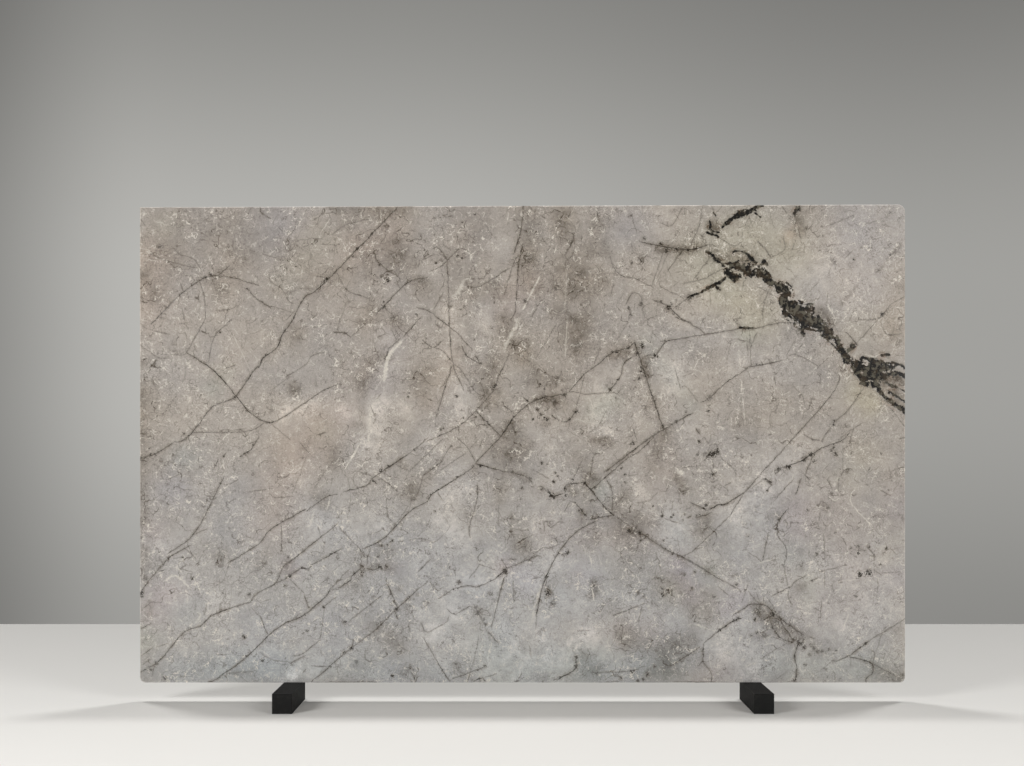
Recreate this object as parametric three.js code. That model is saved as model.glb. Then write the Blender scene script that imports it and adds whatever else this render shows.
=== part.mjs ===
// A polished marble slab standing on edge on two square support blocks.
// Millimetres, +Z up. The origin is on the floor, under the middle of the whole
// object. The polished face looks towards -Y, and +X is on a viewer's right.
import * as THREE from "three";

// ---- Slab ----
const slabWidth = 2900;
const slabThickness = 20;
const leftHeight = 1802; // the saw left the top edge a little out of square
const rightHeight = 1812;
const arris = 2; // the flat that eases each long edge
const footRadius = 21; // both lower corners are rounded off
const topLeftRadius = 4;
const brokenCorner = 21; // the top right corner has snapped off at about 45 degrees
const breakBulge = 3; // how far the middle of the break stands out, both ways

// ---- Support blocks ----
const blockSide = 72; // square section: width and height
const blockLength = 330; // front to back
const blockReachBehind = 40; // how far a block runs on past the slab's back, so it stands
const blockEase = 1.5; // eased edges, front and back
const blockOffset = 868; // from the middle of the slab to the middle of a block

const backOfBlocks = blockLength / 2;
const backOfSlab = backOfBlocks - blockReachBehind;
const slabFoot = blockSide; // the slab rests on top of the blocks
const arcSteps = 6;

const marble = new THREE.MeshStandardMaterial({
  color: 0xa8a29b,
  roughness: 0.3,
  metalness: 0,
});
const blackRubber = new THREE.MeshStandardMaterial({
  color: 0x22221f,
  roughness: 0.8,
  metalness: 0,
});

// Turns a shape drawn in XY and extruded along Z so that it stands upright:
// its Y becomes height, and its extrusion runs towards the front, -Y.
const uprightTurn = new THREE.Matrix4().set(
  1, 0, 0, 0,
  0, 0, -1, 0,
  0, 1, 0, 0,
  0, 0, 0, 1,
);

// Extrudes an outline to a full depth, with its front and back edges eased by
// flats that stay inside the outline, and stands it up with its back at y = 0.
function uprightPlate(outline, depth, ease) {
  const plate = new THREE.ExtrudeGeometry(outline, {
    depth: depth - 2 * ease,
    bevelEnabled: true,
    bevelThickness: ease,
    bevelSize: ease,
    bevelOffset: -ease,
    bevelSegments: 1,
    curveSegments: arcSteps,
  });
  plate.translate(0, 0, ease);
  plate.applyMatrix4(uprightTurn);
  return plate;
}

// The slab seen from the front, with its lower edge at height 0.
function slabOutline() {
  const side = slabWidth / 2;
  const quarter = Math.PI / 2;
  const outline = new THREE.Shape();
  outline.moveTo(-side + footRadius, 0);
  outline.lineTo(side - footRadius, 0);
  outline.absarc(side - footRadius, footRadius, footRadius, -quarter, 0, false);
  outline.lineTo(side, rightHeight - brokenCorner);
  const halfBreak = brokenCorner / 2 - breakBulge;
  outline.lineTo(side - halfBreak, rightHeight - halfBreak);
  outline.lineTo(side - brokenCorner, rightHeight);
  outline.lineTo(-side + topLeftRadius, leftHeight);
  outline.absarc(
    -side + topLeftRadius,
    leftHeight - topLeftRadius,
    topLeftRadius,
    quarter,
    2 * quarter,
    false,
  );
  outline.lineTo(-side, footRadius);
  outline.absarc(-side + footRadius, footRadius, footRadius, 2 * quarter, 3 * quarter, false);
  return outline;
}

function makeSlab() {
  const slab = new THREE.Mesh(
    uprightPlate(slabOutline(), slabThickness, arris),
    marble,
  );
  slab.name = "marble_slab";
  slab.position.set(0, backOfSlab, slabFoot);
  return slab;
}

// The block seen from the front, with its foot at height 0.
function blockOutline() {
  const half = blockSide / 2;
  const outline = new THREE.Shape();
  outline.moveTo(-half, 0);
  outline.lineTo(half, 0);
  outline.lineTo(half, blockSide);
  outline.lineTo(-half, blockSide);
  outline.closePath();
  return outline;
}

function makeBlock(name, middle) {
  const block = new THREE.Mesh(
    uprightPlate(blockOutline(), blockLength, blockEase),
    blackRubber,
  );
  block.name = name;
  block.position.set(middle, backOfBlocks, 0);
  return block;
}

const slabOnBlocks = new THREE.Group();
slabOnBlocks.add(makeSlab());
slabOnBlocks.add(makeBlock("left_block", -blockOffset));
slabOnBlocks.add(makeBlock("right_block", blockOffset));

export default slabOnBlocks;
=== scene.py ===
# A polished grey marble slab on two black rubber blocks, in a plain pale studio.
import functools
import math

import bpy
import numpy as np
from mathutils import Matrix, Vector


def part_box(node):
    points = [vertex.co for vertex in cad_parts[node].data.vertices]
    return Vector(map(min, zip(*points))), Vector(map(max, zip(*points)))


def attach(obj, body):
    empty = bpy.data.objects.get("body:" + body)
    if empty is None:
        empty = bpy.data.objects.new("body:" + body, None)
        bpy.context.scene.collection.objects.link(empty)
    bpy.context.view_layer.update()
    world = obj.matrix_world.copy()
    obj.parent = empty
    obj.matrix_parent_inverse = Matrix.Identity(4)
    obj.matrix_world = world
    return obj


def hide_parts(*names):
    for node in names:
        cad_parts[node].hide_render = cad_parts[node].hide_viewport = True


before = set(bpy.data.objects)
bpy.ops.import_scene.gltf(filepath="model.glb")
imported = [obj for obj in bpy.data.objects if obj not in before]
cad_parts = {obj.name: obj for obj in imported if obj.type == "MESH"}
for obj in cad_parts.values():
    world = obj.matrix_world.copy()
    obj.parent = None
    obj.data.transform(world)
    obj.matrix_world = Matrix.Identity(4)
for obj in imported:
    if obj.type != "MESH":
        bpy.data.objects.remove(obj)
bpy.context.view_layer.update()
slabLow, slabHigh = (np.array(corner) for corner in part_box("marble_slab"))
print("frame loaded: slab from", slabLow, "to", slabHigh)


def linearColour(hexCode):
    # sRGB hex to the linear values that shaders take
    parts = [int(hexCode[i:i + 2], 16) / 255 for i in (1, 3, 5)]
    return [p / 12.92 if p <= 0.04045 else ((p + 0.055) / 1.055) ** 2.4 for p in parts] + [1.0]


def addNode(tree, kind, inputs=(), output=None, **settings):
    # adds a shader node; its inputs, by name or in the node's order, are values, or nodes or sockets to link
    node = tree.nodes.new(f"ShaderNode{kind}")
    for name, value in settings.items():
        setattr(node, name, value)
    for name, value in inputs.items() if isinstance(inputs, dict) else enumerate(inputs):
        if isinstance(value, bpy.types.Node):
            value = next(socket for socket in value.outputs if socket.enabled)
        if isinstance(value, bpy.types.NodeSocket):
            tree.links.new(value, node.inputs[name])
        else:
            node.inputs[name].default_value = value
    return node.outputs[output] if output else node


def newMaterial(name):
    # a material with an empty tree, and addNode bound to that tree
    material = bpy.data.materials.new(name)
    material.use_nodes = True
    material.node_tree.nodes.clear()
    return material, functools.partial(addNode, material.node_tree)


# Studio: camera, floor and soft lights
studio = {
    "cameraPlace": (-0.0398, -5.252, 0.893),
    "lens": 49.7,  # on a 36 mm sensor
    "shiftUp": 0.081,  # the slab stands above the middle of the frame
    "floorBack": 2.73,  # where the pale floor ends, in metres behind the middle
    "floorFront": -6.5,
    "floorHalfWidth": 7.0,
    "floorColour": "#e3e1dd",
    "wallColour": "#b8b7b3",
    "wallGlow": 0.222,
    "wallShadeFalls": [  # painted shade on the wall as the camera sees it, darker away from its bright middle: axis, where it is still bright, where it is darkest, and how dark
        ("X", -0.24, -0.4, 0.42),
        ("X", -0.1, 0.3, 0.75),
        ("Z", 0.12, 0.36, 0.5),
        ("Z", 0.06, -0.14, 0.7),
    ],
    "softboxes": [  # name, place, aim, width, height, watts
        ("front left softbox", (-4.5, -4.6, 3.1), (0, 0, 0.9), 2.2, 2.2, 245),
        ("front right softbox", (4.4, -4.8, 3.2), (0, 0, 0.9), 3.0, 3.0, 190),
    ],
    "skylight": 0.8,  # two, high up and a little behind, so the slab's shadow falls in front
    "skylightLean": 11.5,  # degrees
    "skylightSpread": 11,  # degrees to each side
    "skylightSoftness": 6.0,  # degrees
}
camera = bpy.data.objects.new("camera", bpy.data.cameras.new("camera"))
camera.location = studio["cameraPlace"]
camera.rotation_euler = (math.radians(90), 0, 0)
camera.data.lens = studio["lens"]
camera.data.sensor_width = 36
camera.data.shift_y = studio["shiftUp"]
bpy.context.scene.collection.objects.link(camera)
bpy.context.scene.camera = camera
bpy.context.scene.view_settings.view_transform = "Standard"

world = bpy.data.worlds.new("grey studio")
world.use_nodes = True
world.node_tree.nodes.clear()
add = functools.partial(addNode, world.node_tree)
facing = add("SeparateXYZ", {"Vector": add("TexCoord", output="Generated")})
falls = []
# painted shade on the wall as the camera sees it, darker towards the top, the bottom and the sides
for axis, bright, dim, least in studio["wallShadeFalls"]:
    falls.append(add("MapRange", {
        "Value": facing.outputs[axis], "From Min": bright, "From Max": dim, "To Min": 1.0, "To Max": least},
        interpolation_type="SMOOTHSTEP"))
wallShadeSeen = functools.reduce(lambda one, other: add("Math", (one, other), operation="MULTIPLY"), falls)
seen = add("LightPath", output="Is Camera Ray")  # the wall looks lighter than the light it gives off
glow = add("MapRange", {"Value": seen, "To Min": studio["wallGlow"], "To Max": wallShadeSeen})
wall = add("Background", {"Color": linearColour(studio["wallColour"]), "Strength": glow})
add("OutputWorld", {"Surface": wall})
bpy.context.scene.world = world

halfFloor = studio["floorHalfWidth"]
floorMesh = bpy.data.meshes.new("studio_floor")
floorMesh.from_pydata(
    [
        (-halfFloor, studio["floorFront"], 0),
        (halfFloor, studio["floorFront"], 0),
        (halfFloor, studio["floorBack"], 0),
        (-halfFloor, studio["floorBack"], 0),
    ],
    [],
    [(0, 1, 2, 3)],
)
floor = bpy.data.objects.new("studio_floor", floorMesh)
bpy.context.scene.collection.objects.link(floor)
paint, add = newMaterial("matt floor paint")  # near white, no shine
shader = add("BsdfPrincipled", {
    "Base Color": linearColour(studio["floorColour"]), "Roughness": 0.9, "Specular IOR Level": 0.2})
add("OutputMaterial", {"Surface": shader})
floorMesh.materials.append(paint)

for name, place, aim, width, height, watts in studio["softboxes"]:
    lamp = bpy.data.lights.new(name, "AREA")
    lamp.shape = "RECTANGLE"
    lamp.size = width
    lamp.size_y = height
    lamp.energy = watts
    holder = bpy.data.objects.new(name, lamp)
    away = np.array(aim) - np.array(place)
    holder.location = place
    holder.rotation_euler = (
        math.atan2(math.hypot(away[0], away[1]), -away[2]),
        0,
        math.atan2(away[1], away[0]) - math.pi / 2,
    )
    bpy.context.scene.collection.objects.link(holder)
for name, way in (("left skylight", -1), ("right skylight", 1)):
    skylight = bpy.data.lights.new(name, "SUN")
    skylight.energy = studio["skylight"]
    skylight.angle = math.radians(studio["skylightSoftness"])
    holder = bpy.data.objects.new(name, skylight)
    holder.rotation_euler = (
        math.radians(-studio["skylightLean"]), math.radians(way * studio["skylightSpread"]), 0)
    bpy.context.scene.collection.objects.link(holder)
print("studio ready")

# Support blocks: the CAD solids, dressed
blockFinish = {
    "colour": "#0f0f0e",
    "scuffed": "#282724",
    "scuffSize": 18,  # mm
    "knifeDrag": 2.2,  # mm between the knife's marks, drawn along the block
    "grain": 1.2,  # mm
    "relief": 0.0004,  # metres
}


def blackRubberMaterial():
    # Cut solid rubber: matt black, greyer where it is scuffed, with the faint drag of the knife.
    material, add = newMaterial("cut black rubber")
    place = add("TexCoord", output="Object")
    inMm = add("VectorMath", {0: place, "Scale": 1000.0}, operation="SCALE")
    scuff = add("TexNoise", {
        "Vector": inMm, "Scale": 1 / blockFinish["scuffSize"], "Detail": 5.0, "Roughness": 0.65})
    dust = add("MapRange", {"Value": scuff, "From Min": 0.48, "From Max": 0.75, "To Max": 0.55},
               interpolation_type="SMOOTHSTEP")
    tone = add("Mix", {
        "Factor": dust, "A": linearColour(blockFinish["colour"]), "B": linearColour(blockFinish["scuffed"])},
        data_type="RGBA")
    drawnOut = add("Mapping", {"Vector": inMm, "Scale": (1, 0.12, 1)})
    drag = add("TexNoise", {"Vector": drawnOut, "Scale": 1 / blockFinish["knifeDrag"], "Detail": 3.0})
    grain = add("TexNoise", {"Vector": inMm, "Scale": 1 / blockFinish["grain"], "Detail": 2.0})
    height = add("Math", (drag, grain), operation="ADD")
    bump = add("Bump", {"Height": height, "Distance": blockFinish["relief"], "Strength": 0.6})
    gloss = add("MapRange", {"Value": scuff, "To Min": 0.6, "To Max": 0.9})
    shader = add("BsdfPrincipled", {
        "Base Color": tone, "Roughness": gloss, "Specular IOR Level": 0.25, "Normal": bump})
    add("OutputMaterial", {"Surface": shader})
    return material


rubber = blackRubberMaterial()
for name in ("left_block", "right_block"):
    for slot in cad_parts[name].material_slots:
        slot.material = rubber
print("blocks dressed")

# Slab
slabStone = {
    # its shape, in metres
    "footRadius": 0.021,
    "topLeftRadius": 0.004,
    "brokenCorner": 0.021,
    "breakBulge": 0.003,
    "topFall": 0.010,  # how much lower the top edge is on the left
    "arris": 0.0027,
    "arrisWander": 0.0007,
    "arrisNarrow": 0.0009,
    "arrisWide": 0.0045,
    "sideBand": 0.006,  # a vertex closer than this to a side belongs to it
    "cell": 0.0084,  # spacing of the face's vertices, which carry the veins
    "cornerSteps": 6,
    # its veins, in mm
    "veinLayers": 9,
    "streakLayers": 4,
    "seamLayers": 10,
    "spotLayers": 6,
    "step": 6.0,  # between the points of a smoothed vein
    "veinWidth": 0.205,  # half width of the dark core, as a share of the width listed
    "streakWidth": 0.36,
    "endFade": 6.0,
    "endWidth": 0.6,  # how wide a vein is at its ends, as a share
    "endWiden": 0.13,  # how much of that share it gains at each step from there
    "sureCells": 1.45,  # a vein is at full strength up to this many vertex spacings from its edge
    "goneCells": 1.95,  # and gone here
    "throughStrength": 0.75,  # veins at least this strong show on the back as well
    "throughPoints": 4,  # if they have more listed points than this
    "rearShift": 7,  # how far to one side they come out there
    "softEdge": 0.62,  # of a soft mark's width
    "softReach": 1.6,
    "tintShare": 0.6,
    # its stone
    "warm": "#a69e95",
    "cool": "#a19b95",
    "plain": "#a09a92",  # what the tints are measured against
    "veinDark": "#262019",
    "veinHaze": "#756c61",
    "hairDark": "#453b30",
    "streak": "#dcd6ca",
    "fleck": "#d9d2c7",
    "seamBlack": "#161411",
    "seamBrown": "#352c21",
    "seamGrey": "#615c50",
    "rust": "#7a5c40",
    "brownShift": (0, -0.05, -0.12),  # of the dark marks
    "darkest": 0.95,
    "palest": 0.7,
    # the size of its patterns, in mm
    "swirlSize": 60,
    "swirlPush": 34,  # how far the swirls carry the patterns
    "cloudSize": 260,
    "patchSize": 120,  # of the finely broken and the smooth stone
    "patchySize": 38,  # of the breaks in the soft marks
    "slowSize": 34,
    "quickSize": 11,
    "crumbSize": 4.5,
    "netSize": 95,  # of the net of healed cracks
    "curlSize": 23,
    "sawPitch": 2.6,  # between the saw's marks, drawn coarser than they are so that they show
    "wobble": (12.0, 5.0),  # by the slow and the quick noise
    "weave": (15.0, 8.0),  # by the slow and the quick noise
    "ragged": (2.0, 4.0),  # spot edges by the quick and the fine noise, in radii
    "tear": (1.1, 0.9),  # seam edges by the slow and the quick noise, in reaches
    "tearReach": (2.6, 5.0),  # a reach is this many half widths plus this many mm
    "seamOutside": 60.0,  # how far outside the seam the rest of the stone counts as
    "near": (0.4, 0.82),  # how much a vein's haze and the shade bring on hairlines and grains
    "fineBelow": 10,  # marks smaller than this are strong only in some places
    "tones": [  # size of the marks, detail, roughness, depth
        (420, 3.0, 0.5, 0.08),
        (70, 3.0, 0.55, 0.44),
        (19, 2.0, 0.6, 0.13),
        (6.5, 1.0, 0.5, 0.30),
        (4.2, 1.0, 0.6, 0.78),
    ],
    "hairs": [  # size, roughness, width, strength away from veins
        (125, 0.5, 0.0085, 0.7),
        (44, 0.6, 0.021, 0.25),
    ],
    "curlLine": (0.032, 0.008),  # a curl's half width and that of its core, in the noise's values
    "curls": [  # noise channel, from where, to where, strength, colour
        ("Red", 0.48, 0.6, 0.72, "fleck"),
        ("Blue", 0.47, 0.38, 0.5, "hairDark"),
    ],
    "grains": [  # spacing, share of them that shows, radius, strength, colour
        (38, 0.3, 2.2, 0.45, "fleck"),
        (47, 0.3, 2.2, 0.5, "hairDark"),
        (21, 0, 3.2, 0.75, "veinDark"),
    ],
    "crowding": (0.65, -0.12),  # how the share of grains rises with the shade, and from where
    "relief": 0.0003,  # metres
    "uneven": 0.03,  # of the roughness, both ways
    "dullVeins": 0.06,  # how much rougher a vein is
    "finishes": [  # name, roughness, lightness, saw marks
        ("polished grey marble", 0.16, 1.0, 0.0),
        ("eased marble edge", 0.5, 1.55, 0.6),
        ("sawn marble back", 0.62, 1.05, 1.5),
    ],
    "sharpAngle": 25,  # degrees
}
side = (slabHigh[0] - slabLow[0]) / 2
fullHeight = slabHigh[2] - slabLow[2]
faceY, backY = slabLow[1], slabHigh[1]
wander = np.random.default_rng(11)


def bottomOf(x):
    r = slabStone["footRadius"]
    into = np.clip(r - (side - np.abs(x)), 0, r)
    return r - np.sqrt(r * r - into * into)


def topOf(x):
    r = slabStone["topLeftRadius"]
    cut = slabStone["brokenCorner"]
    half = cut / 2 - slabStone["breakBulge"]
    run = 2 * side - r - cut
    edge = fullHeight - slabStone["topFall"] * (1 - np.clip((x + side - r) / run, 0, 1))
    into = np.clip(r - (x + side), 0, r)
    rounded = r - np.sqrt(r * r - into * into)
    chip = np.interp(x, [side - cut, side - half, side], [0, half, cut])
    return edge - rounded - chip


def arrisAlong(count):
    # the width of the eased edge wanders, because it is rubbed down by hand
    knots = wander.normal(0, slabStone["arrisWander"], count // 3 + 2)
    width = slabStone["arris"] + np.interp(np.arange(count) / 3, np.arange(len(knots)), knots)
    return np.clip(width, slabStone["arrisNarrow"], slabStone["arrisWide"])


corner = side - slabStone["footRadius"]
turn = np.linspace(0, math.pi / 2, slabStone["cornerSteps"] + 1)[:-1]
leftArc = -side + slabStone["footRadius"] * (1 - np.cos(turn))
middleCount = 2 * round(corner / slabStone["cell"])
columns = np.concatenate([leftArc, np.linspace(-corner, corner, middleCount + 1), -leftArc[::-1]])
rows = np.linspace(0, 1, 2 * round(fullHeight / slabStone["cell"] / 2) + 1)
nx, nz = len(columns) - 1, len(rows) - 1

flatX = np.tile(columns, (nz + 1, 1))
flatZ = bottomOf(columns) + rows[:, None] * (topOf(columns) - bottomOf(columns))
arris = slabStone["arris"]
across = (flatX + side) / (2 * side)
up = rows[:, None]
faceX = flatX + arrisAlong(nz + 1)[:, None] * (1 - across) - arrisAlong(nz + 1)[:, None] * across
faceZ = flatZ + arrisAlong(nx + 1) * (1 - up) - arrisAlong(nx + 1) * up
rearX = (flatX * (side - arris) / side)[::2, ::2]
rearZ = (flatZ + arris * (1 - 2 * up))[::2, ::2]


def ringOf(grid):
    # the border of a grid, anticlockwise as seen from the front
    return np.concatenate([grid[0, :], grid[1:, -1], grid[-1, -2::-1], grid[-2:0:-1, 0]])


def corners(x, y, z):
    return np.stack([x.ravel(), np.full(x.size, y), z.ravel() + slabLow[2]], axis=1)


def quadsOf(index):
    return np.stack([index[:-1, :-1], index[:-1, 1:], index[1:, 1:], index[1:, :-1]], axis=-1).reshape(-1, 4)


def stripOf(outer, inner):
    return np.stack([outer, np.roll(outer, -1), np.roll(inner, -1), inner], axis=-1)


ringX, ringZ = ringOf(flatX), ringOf(flatZ)
ringCount = len(ringX)
points = np.concatenate([
    corners(faceX, faceY, faceZ),
    corners(ringX, faceY + arris, ringZ),
    corners(ringX, backY - arris, ringZ),
    corners(rearX, backY, rearZ),
])
faceIndex = np.arange(faceX.size).reshape(faceX.shape)
frontRing = faceX.size + np.arange(ringCount)
backRing = frontRing + ringCount
rearStart = faceX.size + 2 * ringCount
rearIndex = rearStart + np.arange(rearX.size).reshape(rearX.shape)
rearRing = ringOf(rearIndex)

faceQuads = quadsOf(faceIndex)
edgeQuads = np.concatenate([stripOf(frontRing, ringOf(faceIndex)), stripOf(backRing, frontRing)])
rearStrip = np.stack(  # the back's grid is half as fine, so its edge faces have five corners
    [rearRing, np.roll(rearRing, -1), np.roll(backRing[::2], -1), backRing[1::2], backRing[::2]], axis=-1)
rearQuads = quadsOf(rearIndex)[:, ::-1]
slabMesh = bpy.data.meshes.new("slab_stone")
slabMesh.from_pydata(
    points.tolist(), [],
    faceQuads.tolist() + edgeQuads.tolist() + rearStrip.tolist() + rearQuads.tolist())
materialOfFace = [0] * len(faceQuads) + [1] * (len(edgeQuads) + len(rearStrip)) + [2] * len(rearQuads)
slabMesh.polygons.foreach_set("material_index", materialOfFace)
slab = bpy.data.objects.new("slab_stone", slabMesh)
bpy.context.scene.collection.objects.link(slab)
print("slab mesh:", len(points), "vertices,", nx, "by", nz, "cells")

# The whole slab on one map: the face below, the back above it, the edges beside the back
slabMap = {  # as shares of the map
    "face": 0.996,
    "rear": 0.54,
    "start": 0.002,
    "rearUp": 0.64,
    "edgeStart": 0.56,
    "edgeLength": 0.43,
    "edgeUp": 0.65,
    "edgeApart": 0.08,
    "edgeWidth": 0.05,
}
vertexX = points[:, 0]
vertexZ = points[:, 2] - slabLow[2]
faceMap = np.stack([(vertexX + side) / (2 * side), vertexZ / (2 * side)], axis=1)
faceMap = faceMap * slabMap["face"] + slabMap["start"]
rearMap = np.stack([(side - vertexX) / (2 * side), vertexZ / (2 * side)], axis=1)
rearMap = rearMap * slabMap["rear"] + (slabMap["start"], slabMap["rearUp"])
loopVertex = np.empty(len(slabMesh.loops), dtype=np.int64)
slabMesh.loops.foreach_get("vertex_index", loopVertex)
mapped = faceMap[loopVertex]
edgeStart = faceQuads.size
edgeEnd = edgeStart + edgeQuads.size + rearStrip.size
edgeLoops = loopVertex[edgeStart:edgeEnd]
nearSide = side - slabStone["sideBand"]
sideOfEdge = np.select(  # which of the four edges a strip's vertex is on
    [vertexZ < slabStone["footRadius"] / 2, vertexX > nearSide, vertexX < -nearSide], [0, 1, 2], 3)
facesOfEdge = np.concatenate([np.repeat(np.arange(len(edgeQuads)), 4),
                              len(edgeQuads) + np.repeat(np.arange(len(rearStrip)), 5)])
firstOfFace = np.concatenate([np.arange(len(edgeQuads)) * 4, edgeQuads.size + np.arange(len(rearStrip)) * 5])
edgeRow = sideOfEdge[edgeLoops[firstOfFace]][facesOfEdge]
upright = (edgeRow == 1) | (edgeRow == 2)
alongEdge = np.where(upright, vertexZ[edgeLoops] / fullHeight, (vertexX[edgeLoops] + side) / (2 * side))
depthOfEdge = (points[edgeLoops, 1] - faceY) / (backY - faceY)
mapped[edgeStart:edgeEnd] = np.stack([
    slabMap["edgeStart"] + slabMap["edgeLength"] * alongEdge,
    slabMap["edgeUp"] + slabMap["edgeApart"] * edgeRow + slabMap["edgeWidth"] * depthOfEdge], axis=1)
mapped[edgeEnd:] = rearMap[loopVertex[edgeEnd:]]
uvMap = slabMesh.uv_layers.new(name="OFBake")
uvMap.data.foreach_set("uv", mapped.ravel())

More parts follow.
